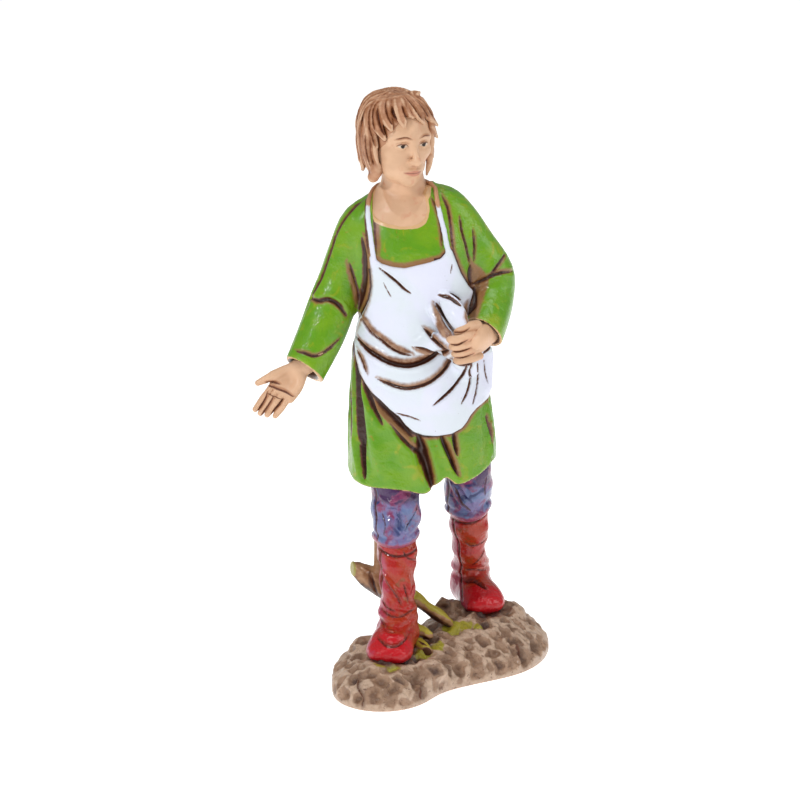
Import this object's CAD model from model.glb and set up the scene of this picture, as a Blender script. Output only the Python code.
# %% [markdown]
# # A painted crib figure of a sower
#
# The real thing is one hard plastic moulding, about 12 cm tall, sprayed and brushed by hand: glossy
# green, white, blue and red on the clothes, satin flesh and hair, and a dull stony earth. A dark brown
# wash was flooded into every fold and wiped off again, and that wash is what draws the figure.
#
# This lesson builds the surface that is seen, round the plain solid that carries it. The solid stays
# hidden. Each piece below is modelled in millimetres above the ground under the front foot, and turned
# into metres when its mesh is made.

# %% Load the part as a fixed frame
import math

import bpy
import numpy as np
import openvdb
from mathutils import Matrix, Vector


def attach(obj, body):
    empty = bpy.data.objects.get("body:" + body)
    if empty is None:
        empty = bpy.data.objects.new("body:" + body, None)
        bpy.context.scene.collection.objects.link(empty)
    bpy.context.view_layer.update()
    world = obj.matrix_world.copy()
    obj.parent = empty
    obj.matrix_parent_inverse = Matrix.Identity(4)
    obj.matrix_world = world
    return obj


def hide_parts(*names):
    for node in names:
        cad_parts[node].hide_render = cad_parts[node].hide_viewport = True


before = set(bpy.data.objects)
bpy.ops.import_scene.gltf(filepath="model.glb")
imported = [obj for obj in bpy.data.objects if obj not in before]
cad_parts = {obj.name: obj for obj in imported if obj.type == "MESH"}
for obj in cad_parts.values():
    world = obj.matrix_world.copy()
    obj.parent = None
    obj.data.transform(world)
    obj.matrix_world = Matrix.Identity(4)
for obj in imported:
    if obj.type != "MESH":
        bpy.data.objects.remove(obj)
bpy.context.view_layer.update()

GROUND = 7.0  # from the underside of the earth to the ground under the front foot
MM = 0.001
NODE = "sower_figure"

# %% [markdown]
# ## Smooth lines and tables
#
# A sculptor's shapes have few deciding points: the bends of an arm, the sections of a coat. Between
# them the form runs smoothly. Blender could hold such lines as curve objects, but here the points feed
# a numerical sculpture, so one short function draws a smooth curve through any rows of numbers.

# %% Smooth lines
def smooth_line(points, steps=5):
    """Rows of numbers along a smooth curve through the given rows, with so many steps between two."""
    rows = np.array(points, float)
    rows = np.vstack([2 * rows[0] - rows[1], rows, 2 * rows[-1] - rows[-2]])
    place = np.linspace(0, len(points) - 1, steps * (len(points) - 1) + 1)
    i = np.minimum(place.astype(int), len(points) - 2)
    t = (place - i)[:, None]
    a, b, c, d = (rows[i + n] for n in range(4))
    return 0.5 * (2 * b + (c - a) * t + (2 * a - 5 * b + 4 * c - d) * t**2 + (3 * b - a - 3 * c + d) * t**3)


def table(rows):
    """A function that reads rows of numbers as smooth curves over their first number."""
    rows = np.array(rows, float)
    rows = rows[np.argsort(rows[:, 0])]

    def read(key):
        key = np.clip(key, rows[0, 0], rows[-1, 0])
        i = np.clip(np.searchsorted(rows[:, 0], key) - 1, 0, len(rows) - 2)
        t = (key - rows[i, 0]) / (rows[i + 1, 0] - rows[i, 0])
        before, after = np.maximum(i - 1, 0), np.minimum(i + 2, len(rows) - 1)
        columns = []
        for n in range(1, rows.shape[1]):
            here, there = rows[i, n], rows[i + 1, n]
            lead, leave = (there - rows[before, n]) / 2, (rows[after, n] - here) / 2
            bend = (t - t * t) * (lead * (1 - t) - leave * t - (there - here) * (1 - 2 * t))
            columns.append(here + (there - here) * t + bend)
        return columns

    return read


print("half way into a bend:", smooth_line([(0, 0), (1, 1), (2, 0)], 2)[1])


# %% Small helpers
def smooth(value, low, high):
    """0 below low, 1 above high and an even turn between them."""
    t = np.clip((value - low) / (high - low), 0, 1)
    return t * t * (3 - 2 * t)


def mix(a, b, share):
    return a + (b - a) * share


def bell(distance, width):
    return np.exp(-((distance / width) ** 2))


def dot(parts, way):
    """How far x, y and z reach along a way."""
    return parts[0] * way[0] + parts[1] * way[1] + parts[2] * way[2]


def unit(way):
    return np.array(way) / np.linalg.norm(way)


print("a quarter of the way up a smooth step:", smooth(0.25, 0, 1))

# %% [markdown]
# ## Digital clay
#
# The figure was first modelled in wax or clay, where one form melts into the next: shoulder into
# sleeve, palm into thumb. Polygons joined by hand do this badly. So each piece here starts as a block
# of clay: a grid of numbers that say how far each place is from the surface, below 0 inside it. Two
# forms melt together by a soft minimum, and a mesh is drawn where the distance is 0. Blender's own
# Python holds the library that its remesher uses, so the mesh comes out as even quads.

# %% Melting two forms
def melt(a, b, soft):
    """The nearer of two distances, with the corner between them filled over a width of soft."""
    near = np.clip(soft - np.abs(a - b), 0, None)
    return np.minimum(a, b) - near * near / (4 * soft)


def common(a, b, soft):
    """What two forms have in common, with its edge rounded."""
    return -melt(-a, -b, soft)


print("where two surfaces meet, a soft width of 2 mm adds", -melt(0.0, 0.0, 2.0), "mm of clay")

# %% A block of clay
FAR = 9.0  # a distance that counts as nowhere near


class Clay:
    """A grid of distances to the nearest surface, in millimetres."""

    def __init__(self, low, high, grain):
        self.low = np.array(low, float)
        self.grain = grain
        self.count = np.ceil((np.array(high) - low) / grain).astype(int) + 1
        self.field = np.full(self.count, FAR, np.float32)

    def around(self, low, high):
        """The part of the grid between two corners, and x, y and z in it."""
        first = np.clip(np.floor((low - self.low) / self.grain).astype(int), 0, self.count - 2)
        last = np.clip(np.ceil((high - self.low) / self.grain).astype(int) + 1, first + 1, self.count)
        steps = [np.arange(first[n], last[n]) for n in range(3)]
        axes = [(self.low[n] + self.grain * steps[n]).astype(np.float32) for n in range(3)]
        return tuple(map(slice, first, last)), np.meshgrid(*axes, indexing="ij", sparse=True)

    def everywhere(self):
        return self.around(self.low, self.low + self.grain * self.count)[1]

    def work(self, part, form, soft, dig=False):
        """Melts a form into part of the clay, or digs it out."""
        field = self.field[part]
        self.field[part] = common(field, -form, soft) if dig else melt(field, form, soft)

    def carve(self, form, soft):
        """Takes a form away from all of the clay."""
        self.field = common(self.field, -form, soft)

    def at(self, places, field=None):
        """The field at any places, read between the grid's points."""
        field = self.field if field is None else field
        spot = np.clip((places - self.low) / self.grain, 0, self.count - 1.001)
        i = spot.astype(int)
        t = spot - i
        total = np.zeros(len(places), np.float32)
        for corner in np.ndindex(2, 2, 2):
            share = np.prod(np.where(corner, t, 1 - t), axis=1)
            total += share * field[tuple((i + corner).T)]
        return total

    def hollows(self, places, reach):
        """How deep each place lies in a hollow: above 0 in a crease and below 0 on a ridge."""
        field = np.clip(self.field, -2 * reach, 2 * reach)
        margin = max(int(reach / self.grain), 1)
        window = 2 * margin + 1
        for axis in range(3):
            padding = [(margin + 1, margin) if n == axis else (0, 0) for n in range(3)]
            total = np.cumsum(np.pad(field, padding, "edge"), axis)
            count = total.shape[axis] - window
            before, after = (np.take(total, range(n, n + count), axis) for n in (0, window))
            field = (after - before) / window
        return -self.at(places, field) / reach

    def skin(self):
        """The places and the four-sided faces of the surface."""
        band = 3 * self.grain
        grid = openvdb.FloatGrid(background=band)
        grid.copyFromArray(np.clip(self.field, -band, band), tolerance=0.0)
        points, quads = grid.convertToQuads(isovalue=0.0)
        return points * self.grain + self.low, quads


pebble = Clay((-3, -3, -3), (3, 3, 3), grain=0.25)
print("a small block of clay has", pebble.field.size, "points")

# %% Balls and limbs
TINY = 1e-6
BALL_ROOM, LIMB_ROOM = 1.5, 1.2  # how far outside a form its distances are still worked out


def ball(clay, centre, radii, soft=0.3, dig=False):
    """Adds an ellipsoid to the clay, or digs it out."""
    radii = np.array(radii, float)
    reach = radii + BALL_ROOM + soft
    part, spot = clay.around(np.array(centre) - reach, np.array(centre) + reach)
    shares = [(v - c) / r for v, c, r in zip(spot, centre, radii)]
    share = np.sqrt(sum(p * p for p in shares) + TINY)
    slope = np.sqrt(sum((p / r) ** 2 for p, r in zip(shares, radii)) + TINY)
    clay.work(part, share * (share - 1) / slope, soft, dig)


def limb(clay, stations, up=(0, -1, 0), soft=0.3, dig=False, steps=4):
    """Adds a round limb along a smooth line. A station is x, y, z, half width and half depth, and up is
    the direction that the depth is measured along."""
    rows = smooth_line([(*s, s[3]) if len(s) == 4 else s for s in stations], steps)
    reach = rows[:, 3:].max() + LIMB_ROOM + soft
    part, (x, y, z) = clay.around(rows[:, :3].min(0) - reach, rows[:, :3].max(0) + reach)
    form = np.full(clay.field[part].shape, FAR, np.float32)
    origin = np.array([x.flat[0], y.flat[0], z.flat[0]])
    for a, b in zip(rows[:-1], rows[1:]):
        along = b[:3] - a[:3]
        length = np.linalg.norm(along) + TINY
        side = np.cross(along, up)
        side /= np.linalg.norm(side) + 1e-9
        front = np.cross(side, along / length)
        near = max(*a[3:], *b[3:]) + LIMB_ROOM + soft
        first = np.maximum(((np.minimum(a[:3], b[:3]) - near - origin) / clay.grain).astype(int), 0)
        last = ((np.maximum(a[:3], b[:3]) + near - origin) / clay.grain).astype(int) + 2
        box = tuple(map(slice, first, last))
        spot = x[box[0]] - a[0], y[:, box[1]] - a[1], z[:, :, box[2]] - a[2]
        t = np.clip(dot(spot, along) / length**2, 0, 1)
        spot = [v - t * w for v, w in zip(spot, along)]
        wide, deep = (a[n] + t * (b[n] - a[n]) for n in (3, 4))
        least = np.minimum(wide, deep)
        across, outward = dot(spot, side) / wide, dot(spot, front) / deep
        beyond = dot(spot, along) / (length * least)
        away = np.sqrt(spot[0] ** 2 + spot[1] ** 2 + spot[2] ** 2 + TINY)
        share = np.sqrt(across**2 + outward**2 + beyond**2 + TINY / least**2)
        form[box] = np.minimum(form[box], away - away / share)
    clay.work(part, form, soft, dig)


ball(pebble, (0, 0, 0), (2.0, 2.0, 1.5))
print("a pebble in it has", len(pebble.skin()[1]), "quads")

# %% [markdown]
# ## Brush strokes and creases
#
# On the real figure a fold and its dark line are one thing: the wash settles where the mould is deep.
# So one list of strokes does both jobs here. A stroke is drawn as seen from one side, and gives a
# groove for the surface, a dark core for the paint and a paler brown spill beside it. The paint is
# kept as a distance in millimetres to the stroke's edge, so that a material can make it crisp or ragged.

# %% Strokes
UNPAINTED = -3.0  # a mask's value far outside its paint, in millimetres
LOOKS = {"front": -1, "back": 1}  # which way along y the surface faces in a view


def draw(u, v, strokes):
    """What strokes do at the places (u, v) of a flat drawing: how far the surface sinks, and how far
    inside the edge of the dark wash and of its brown spill each place lies. A stroke is its half width,
    its depth, the width of its spill and its line. Where the depth is below 0 it raises a ridge."""
    sink = np.zeros(len(u))
    wash, spill = np.full((2, len(u)), UNPAINTED)
    flat = np.stack([u, v], 1)
    for half, depth, spread, line in strokes:
        run = smooth_line(line, 6)
        reach = 3 * half + abs(spread) + 1.0
        near = np.flatnonzero(((flat > run.min(0) - reach) & (flat < run.max(0) + reach)).all(1))
        if not len(near):
            continue
        spots = flat[near]
        lengths = np.concatenate([[0], np.cumsum(np.linalg.norm(np.diff(run, axis=0), axis=1))])
        best = np.full(len(near), 99.0)
        turn, gone = np.zeros((2, len(near)))
        for n, (a, b) in enumerate(zip(run[:-1], run[1:])):
            way = b - a
            t = np.clip((spots - a) @ way / (way @ way + 1e-9), 0, 1)
            off = spots - a - t[:, None] * way
            distance = np.hypot(*off.T)
            closer = distance < best
            best = np.where(closer, distance, best)
            turn = np.where(closer, np.sign(way[0] * off[:, 1] - way[1] * off[:, 0]), turn)
            gone = np.where(closer, lengths[n] + t * np.linalg.norm(way), gone)
        end = np.minimum(gone, lengths[-1] - gone)
        taper = np.sqrt(np.clip(0.08 + end / min(max(3.5 * half, 0.3 * lengths[-1]), 9 * half), 0, 1))
        lips = 0.28 * bell(best - 2.0 * half, 0.8 * half)
        sink[near] -= depth * (bell(best, half * taper) * taper - lips * taper)
        if depth >= 0:
            wash[near] = np.maximum(wash[near], half * taper - best)
        if spread:
            middle = best * turn - spread / 2
            spill[near] = np.maximum(spill[near], (abs(spread) / 2 + 0.6 * half) * taper - np.abs(middle))
    return sink, wash, spill


groove, _, _ = draw(np.zeros(2), np.array([0, 0.5]), [(0.5, 1.0, 0.4, [(-3, 0), (3, 0)])])
print("a stroke sinks the surface in its middle and at its edge by", (-groove).round(2), "mm")

# %% [markdown]
# ## From clay to a piece
#
# A form holds the mesh of one piece while it is worked on: its places, the direction that each one
# faces, and named masks that the paint will read. When it is finished it becomes a Blender object that
# rides on the part's one body and stands for its solid.

# %% Forms and pieces
class Form:
    """The surface of a piece while it is shaped and masked, in millimetres."""

    def __init__(self, clay, hollow=0.6):
        self.places, self.quads = clay.skin()
        self.masks = {"hollow": clay.hollows(self.places, hollow)}
        self.shift = np.zeros(len(self.places))
        self.facing = self.normals()
        for mask in ("wash", "spill"):
            self.masks[mask] = np.full(len(self.places), UNPAINTED)

    def normals(self):
        a, b, c, d = (self.places[self.quads[:, n]] for n in range(4))
        across = np.cross(c - a, d - b)
        total = np.zeros_like(self.places)
        for n in range(4):
            np.add.at(total, self.quads[:, n], across)
        return total / (np.linalg.norm(total, axis=1)[:, None] + 1e-12)

    def facing_view(self, view, low, high):
        """How much each place faces a view, from 0 to 1."""
        return smooth(LOOKS[view] * self.facing[:, 1], low, high)

    def stain(self, mask, values, seen=1.0, there=slice(None)):
        """Spreads a mask to millimetres given, on the part of the surface that is seen."""
        self.masks[mask][there] = np.maximum(self.masks[mask][there], values + UNPAINTED * (1 - seen))

    def strokes(self, view, strokes):
        """Draws strokes on the part of the surface that faces a view."""
        seen = self.facing_view(view, 0.0, 0.3)
        there = np.flatnonzero(seen > 0)
        seen = seen[there]
        sink, wash, spill = draw(self.places[there, 0], self.places[there, 2], strokes)
        self.shift[there] += sink * seen
        self.stain("wash", wash, seen, there)
        self.stain("spill", spill, seen, there)

    def finish(self, name, slot, paint):
        """Makes the piece: a smooth mesh with its masks and its paint."""
        places = self.places + self.shift[:, None] * self.facing
        places = (places + (0, 0, GROUND)) * MM
        mesh = bpy.data.meshes.new(name)
        mesh.from_pydata(places.tolist(), [], self.quads.tolist())
        mesh.shade_smooth()
        for mask, values in self.masks.items():
            attribute = mesh.attributes.new(mask, "FLOAT", "POINT")
            attribute.data.foreach_set("value", values.astype(np.float32))
        piece = bpy.data.objects.new(name, mesh)
        bpy.context.scene.collection.objects.link(piece)
        mesh.materials.append(paint)
        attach(piece, "root")
        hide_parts(NODE)
        print(f"{name}: {2 * len(self.quads)} triangles")


print("the pebble as a form has", len(Form(pebble).places), "places")

# %% [markdown]
# ## Paint
#
# Every finish here is the same in build: a colour that varies from patch to patch, the brown wash over
# it where a mask says, and varnish on top. A node tree made by hand for each would repeat itself, so a
# small class holds the steps. Patterns are measured in millimetres from the piece's own coordinates.
# The varnish is Blender's coat, set by plain numbers on the shader itself.

# %% Paint steps
def tone(red, green, blue):
    """A colour as it looks on a screen, in the numbers that Blender uses for light."""
    return *(((c + 0.055) / 1.055) ** 2.4 if c > 0.04045 else c / 12.92 for c in (red, green, blue)), 1.0


BROWN = tone(0.40, 0.23, 0.14)
DARK = tone(0.21, 0.09, 0.04)


class Paint:
    """A node material made in short steps. Most steps lay another colour over what is there."""

    def __init__(self, name, colour, rough=0.4, coat=0.0, coat_rough=0.1, shine=0.2):
        self.material = bpy.data.materials.new(name)
        self.material.use_nodes = True
        self.tree = self.material.node_tree
        self.shader = self.tree.nodes["Principled BSDF"].inputs
        self.shader["Roughness"].default_value = rough
        self.shader["Specular IOR Level"].default_value = shine
        self.shader["Coat Weight"].default_value = coat
        self.shader["Coat Roughness"].default_value = coat_rough
        self.colour = colour
        place = self.node("ShaderNodeTexCoord", {}, "Object")
        self.spot = self.node("ShaderNodeVectorMath", {0: place, "Scale": 1 / MM}, operation="SCALE")

    def node(self, kind, inputs, output=0, **settings):
        made = self.tree.nodes.new(kind)
        for name, value in settings.items():
            setattr(made, name, value)
        for name, value in inputs.items():
            if isinstance(value, bpy.types.NodeSocket):
                self.tree.links.new(value, made.inputs[name])
            else:
                made.inputs[name].default_value = value
        return made.outputs[output]

    def noise(self, size, detail=4.0, warp=0.0, shift=0.0):
        """Clouds from 0 to 1, about so many millimetres across."""
        place = self.node("ShaderNodeVectorMath", {0: self.spot, 1: (shift, shift, shift)}, operation="ADD")
        inputs = {"Vector": place, "Scale": 1 / size, "Detail": detail, "Distortion": warp}
        return self.node("ShaderNodeTexNoise", inputs, "Fac")

    def mask(self, name):
        return self.node("ShaderNodeAttribute", {}, "Fac", attribute_name=name)

    def add(self, a, b, times=1.0):
        return self.node("ShaderNodeMath", {0: b, 1: times, 2: a}, operation="MULTIPLY_ADD")

    def ragged(self, value, share, size, detail=4.0, warp=0.0):
        """A value, or a mask by its name, made uneven by a share of clouds."""
        value = self.mask(value) if isinstance(value, str) else value
        return self.add(value, self.add(-0.5, self.noise(size, detail, warp)), share)

    def ramp(self, value, low, high):
        inputs = {"Value": value, "From Min": low, "From Max": high}
        return self.node("ShaderNodeMapRange", inputs, interpolation_type="SMOOTHSTEP")

    def mix(self, share, under, over):
        return self.node("ShaderNodeMix", {0: share, 6: under, 7: over}, 2, data_type="RGBA")

    def over(self, value, low, high, *colour):
        """Lays a colour where a value goes from low to high."""
        self.colour = self.mix(self.ramp(value, low, high), self.colour, tone(*colour))

    def inside(self, mask, soft, ragged, *colour, size=0.8):
        """Lays a colour inside a mask, with an edge as soft and as ragged as so many millimetres."""
        self.over(self.ragged(mask, ragged, size, 3.0), -soft, soft, *colour)

    def flood(self, spill, soft=0.25, rim=BROWN, core=DARK):
        """The brown wash: a pale spill, then a brown rim, then the dark core of each stroke."""
        share = self.ramp(self.ragged("spill", 0.5, 0.8, 3.0), -soft, soft)
        self.colour = self.mix(share, self.colour, spill)
        depth = self.ragged("wash", 0.25, 0.8, 3.0)
        self.colour = self.mix(self.ramp(depth, -0.12, 0.06), self.colour, rim)
        self.colour = self.mix(self.ramp(depth, 0.03, 0.22), self.colour, core)

    def finish(self, height, depth):
        """Ends in the shader, with bumps as deep as so many millimetres."""
        inputs = {"Height": height, "Strength": 1.0, "Distance": depth * MM}
        bump = self.node("ShaderNodeBump", inputs, "Normal")
        for socket, value in (("Base Color", self.colour), ("Normal", bump), ("Coat Normal", bump)):
            self.tree.links.new(value, self.shader[socket])
        return self.material


print("the brown of the wash, as light:", [round(share, 3) for share in BROWN[:3]])

# %% [markdown]
# ## The stony earth
#
# The figure stands on a mound of stony ground with two humps, one under each foot. Its surface is all
# shallow dents, as if a thumb had pressed clay, with pale worn ridges between them and dark paint in
# the pits. A height map could make the top, but not the steep bank, so the mound is clay as well, and
# the dents are pressed in along the surface's own direction. Each dent is a small bowl, and where two
# bowls meet a ridge is left by itself.

# %% The mound
LOBES = ((-12.1, -19.7, 5.4), (-10.8, -8.2, 7.0), (-1.3, -4.6, 5.0), (7.0, 3.2, 9.2), (9.2, 12.2, 9.2))
MARGIN = 3.0  # added to each lobe's radius, the third number
BLEND = 4.0  # how softly the lobes run together
EDGE = 1.8  # height of the rim above the underside
BACK_RISE = 2.4  # how much higher the back hump is
FRONT_BANK, BACK_BANK = 8.5, 13.5  # how far in from the rim the banks end
FRONT_CURVE, BACK_CURVE = 0.85, 1.0


def outside_earth(x, y):
    near = [np.exp((radius + MARGIN - np.hypot(x - a, y - b)) / BLEND) for a, b, radius in LOBES]
    return -BLEND * np.log(sum(near))


def ground(x, y):
    """Height of the earth above the ground under the front foot."""
    back = smooth(0.6 * x + 0.8 * y, -8, 9)
    bank = np.clip(-outside_earth(x, y) / mix(FRONT_BANK, BACK_BANK, back), 0, 1)
    dome = (1 - (1 - bank) ** 2) ** mix(FRONT_CURVE, BACK_CURVE, back)
    return mix(EDGE, GROUND + BACK_RISE * back, dome) - GROUND


clay = Clay((-24, -31, -8), (27, 30, 7), grain=0.26)
x, y, z = clay.everywhere()
height = ground(x[:, :, 0], y[:, :, 0])
steep = np.sqrt(1 + sum(slope**2 for slope in np.gradient(height, clay.grain)))
top = (z - height[:, :, None]) / np.minimum(steep, 3)[:, :, None]
clay.field = common(top, outside_earth(x, y), 1.0).astype(np.float32)
LUMPS = (
    ((2.2, 8.2, 2.6), (3.2, 2.2, 1.9)),
    ((14.0, 11.4, 0.2), (3.2, 3.0, 1.5)),
    ((1.4, 1.4, -0.4), (3.2, 2.8, 1.7)),
    ((-14.6, -8.2, -0.9), (3.2, 4.0, 2.0)),
    ((-2.0, -17.0, -2.6), (3.2, 3.0, 2.0)),
)
for centre, radii in LUMPS:
    ball(clay, centre, radii, soft=2.0)
clay.carve(z + GROUND, 0.4)
earth = Form(clay)
print(f"the mound stands {earth.places[:, 2].max() + GROUND:.1f} mm above its underside")

# %% Dents
rng = np.random.default_rng(11)
DENT_SPACING = 2.7
DENT_DEPTH = 1.2
CUP = (0.20, 0.46)  # how fast dents rise from their middles
DARK_DENTS = 0.16  # the share of dents that hold dark paint
BATCH = 6000


def scatter(places, spacing, tries):
    """Seeded points on a surface, no two nearer than the spacing."""
    kept = []
    for spot in places[rng.permutation(len(places))[:tries]]:
        if all(np.linalg.norm(spot - other) > spacing for other in kept):
            kept.append(spot)
    return np.array(kept)


def from_seeds(places, seeds, read):
    """What read makes of the squared distances from each place to all seeds, a batch at a time."""
    starts = range(0, len(places), BATCH)
    return np.concatenate([read(((places[n : n + BATCH, None] - seeds) ** 2).sum(2)) for n in starts])


def dents(places, seeds, depths, cups, soft=0.09):
    """The depth of overlapping bowls: they meet in rounded ridges."""
    def depth(squares):
        return -soft * np.log(np.exp(np.clip((depths - cups * squares) / soft, -60, 60)).sum(1) + 1)

    return from_seeds(places, seeds, depth)


x, y, z = earth.places.T
wobble = 0.5 * np.sin(1.3 * np.stack([y, z, x], 1) + [0, 2, 4])
wobble = wobble + 0.22 * np.sin(3.1 * np.stack([z, x, y], 1))
above = smooth(z + GROUND, 0.5, 2.6) * smooth(earth.facing[:, 2], -0.3, 0.1)
seeds = scatter(earth.places[above > 0.2], DENT_SPACING, 6000)
depths = DENT_DEPTH * rng.uniform(0.3, 1.2, len(seeds))
sunk = dents(earth.places + wobble, seeds, depths, rng.uniform(*CUP, len(seeds)))
pebbles = 0.2 * np.sin(2.3 * x + 1.3 * np.sin(1.9 * y)) * np.sin(2.1 * y + z)
earth.shift += above * (sunk + 0.3 + pebbles)
earth.masks["pit"] = -sunk * above
dark = np.where(rng.random(len(seeds)) < DARK_DENTS, 1.0, 0.0)
nearest = from_seeds(earth.places + wobble, seeds, lambda squares: squares.argmin(1))
earth.masks["deep"] = dark[nearest] * above
print(len(seeds), "dents")

# %% Cracks, moss and dark paint
CRACKS = [
    (0.12, 0.35, 0.5, [(-16.4, -1.4), (-16.6, -3.0), (-15.7, -4.4), (-15.9, -6.2)]),
    (0.10, 0.25, 0.4, [(-4.2, -3.4), (-4.4, -4.6), (-4.1, -5.8)]),
    (0.12, 0.3, 0.5, [(15.0, -1.8), (16.2, -3.2), (16.6, -4.8)]),
]
earth.strokes("front", CRACKS)
MOSS = (
    (-12.4, -20.0, 1.3), (-9.8, -20.5, 1.2), (-1.4, -8.4, 1.9), (-3.8, -11.6, 2.0), (2.4, -1.0, 2.0),
    (4.8, -0.6, 1.6), (7.6, -1.0, 1.0),
)
earth.masks["moss"] = np.max([r - np.hypot(x - a, y - b) for a, b, r in MOSS], axis=0)
# Heel and toe of each boot.
FOOTPRINTS = np.array([((-8.3, -5.6), (-10.6, -16.4)), ((6.0, 17.4), (8.8, 7.6))])
BOOT_SHADE, ROOT_SHADE = 4.6, 2.4  # how far the dark paint reaches round what stands on the earth
shade = [ROOT_SHADE - np.hypot((x + 3.6) / 1.3, y + 7.0)]
for heel, toe in FOOTPRINTS:
    way = toe - heel
    t = np.clip(((x - heel[0]) * way[0] + (y - heel[1]) * way[1]) / (way**2).sum(), 0, 1)
    shade.append(BOOT_SHADE - np.hypot(x - heel[0] - t * way[0], y - heel[1] - t * way[1]))
earth.stain("spill", np.max(shade, axis=0) - 0.2)
earth.stain("wash", np.max(shade, axis=0) - 0.7)
print(f"moss on {100 * (earth.masks['moss'] > 0).mean():.0f} percent of the earth")


# %% Earth paint
def earth_paint():
    paint = Paint("stony_earth_paint", tone(0.66, 0.53, 0.43), coat=0.5, coat_rough=0.12, shine=0.25)
    paint.over(paint.noise(4.0, 4.0, 0.6), 0.35, 0.65, 0.54, 0.42, 0.33)
    pit = paint.ragged("pit", 0.6, 1.3, 5.0, 0.3)
    paint.over(paint.noise(2.2, 4.0, 0.5, 7.0), 0.54, 0.72, 0.46, 0.33, 0.24)
    paint.over(pit, 0.22, -0.06, 0.76, 0.65, 0.56)
    paint.over(pit, 0.50, 1.25, 0.45, 0.33, 0.25)
    deep = paint.ragged(paint.add(paint.mask("deep"), paint.mask("pit"), 0.9), 0.6, 0.9, 4.0, 0.3)
    paint.over(deep, 1.35, 2.00, 0.31, 0.21, 0.17)
    paint.over(paint.noise(0.7, 5.0, 0.4), 0.60, 0.74, 0.42, 0.30, 0.23)
    paint.inside("moss", 0.3, 2.2, 0.62, 0.58, 0.16, size=1.5)
    paint.over(paint.ragged("hollow", 0.25, 0.9), 0.14, 0.42, 0.24, 0.15, 0.11)
    paint.flood(tone(0.42, 0.31, 0.24), 0.6)
    return paint.finish(paint.add(paint.noise(0.45, 6.0, 0.3), paint.noise(1.6, 3.0), 0.8), 0.3)


earth.finish("stony_earth", "painted_earth", earth_paint())

# %% [markdown]
# ## The fallen branch
#
# A broken branch lies behind the front boot: its sawn end stands up on the figure's right, and its
# roots run into the earth on the other side of the boot. It is bare wood under brown wash, with olive
# paint dragged over the top of it. Round limbs melted together give the forks their webs.

# %% Branch
clay = Clay((-22, -11, -4), (12, 9, 25), grain=0.25)
FORK = (-9.2, 0.6, 8.2, 2.7)
BOUGHS = (  # how softly each one melts into the others, and its stations
    (0.3, [(-19.4, 1.9, 13.4, 1.3), (-17.9, 1.8, 12.9, 1.4), (-16.4, 1.6, 12.3, 1.75),
        (-14.0, 1.2, 10.8, 2.4), FORK]),
    (0.3, [
        FORK, (-5.1, -0.6, 7.0, 1.5), (-2.9, -1.0, 5.5, 1.2), (-1.1, -0.9, 4.2, 1.35),
        (0.5, -0.6, 2.9, 1.2), (2.5, 0.2, 1.0, 0.6),
    ]),
    (1.4, [(-11.8, 1.2, 9.5, 1.7), (-12.3, 0.2, 14, 1.3), (-12.5, -1.0, 18, 1.1),
        (-12.9, -2.2, 22.4, 0.8)]),
    (1.0, [(-8.0, -2.5, 3.6, 1.4), (-5.1, -5.8, 2.4, 1.3), (-3.8, -6.2, 2.0, 1.25),
        (-2.5, -6.6, 1.4, 0.95)]),
    (0.8, [(-6.0, -6.0, 0.2, 1.2), (-3.6, -9.6, -0.2, 1.2), (-2.2, -12.0, -1.2, 0.9)]),
)
for soft, stations in BOUGHS:
    limb(clay, stations, soft=soft)
SAWN_END = np.array((-18.2, 1.8, 13.0))
SAWN_WAY = unit((-0.86, -0.3, 0.1))
past_end = dot([v - end for v, end in zip(clay.everywhere(), SAWN_END)], SAWN_WAY)
clay.carve(-past_end, 0.25)
branch = Form(clay, hollow=0.5)
x, y, z = branch.places.T
branch.masks["sawn"] = (branch.places - SAWN_END) @ SAWN_WAY + 0.3
lengthwise = branch.places @ np.array([0.75, 0.2, -0.6])
around = np.arctan2(z - 9 + 0.62 * (x + 9), y - 1)
bark = np.sin(7 * around + 0.5 * np.sin(0.9 * lengthwise)) * smooth(x, -19.5, -17.5)
branch.shift += 0.09 * bark * smooth(-branch.masks["sawn"], -0.1, 0.4)
branch.masks["bark"] = bark
branch.masks["under"] = -branch.facing[:, 2]
branch.masks["top"] = branch.facing[:, 2] - 0.15 * branch.facing[:, 1] - 0.9 * smooth(x, -8, -11)
branch.strokes("front", [
    (0.3, 0.2, -0.8, [(-14.2, 12.4), (-13.6, 10.2), (-12.8, 7.6)]),
    (0.55, 0.2, 0.5, [(-5.2, 5.4), (-3.4, 4.4), (-1.4, 3.2), (0.6, 1.9)]),
    (0.5, 0.2, 0.3, [(-5.2, 1.4), (-3.6, 1.1), (-2.4, 0.8)]),
])
print(f"the branch is {np.ptp(x):.1f} mm across")


# %% Branch paint
def branch_paint():
    paint = Paint("bare_branch_paint", tone(0.68, 0.52, 0.38), rough=0.38, coat=0.35, coat_rough=0.18)
    paint.over(paint.noise(2.2, 4.0, 0.5), 0.35, 0.65, 0.56, 0.39, 0.26)
    paint.over(paint.ragged("top", 1.1, 3.0, 4.0, 0.4), 0.30, 0.48, 0.66, 0.60, 0.20)
    dark = paint.ragged(paint.add(paint.mask("hollow"), paint.mask("bark"), -0.08), 0.3, 0.9)
    paint.over(dark, 0.16, 0.40, 0.32, 0.19, 0.12)
    paint.over(paint.ragged("under", 0.5, 1.6), 0.20, 0.65, 0.26, 0.15, 0.10)
    paint.flood(tone(0.38, 0.24, 0.16))
    paint.inside("sawn", 0.1, 0.2, 0.62, 0.58, 0.32)
    return paint.finish(paint.noise(0.8), 0.15)


branch.finish("fallen_branch", "painted_earth", branch_paint())


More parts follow.
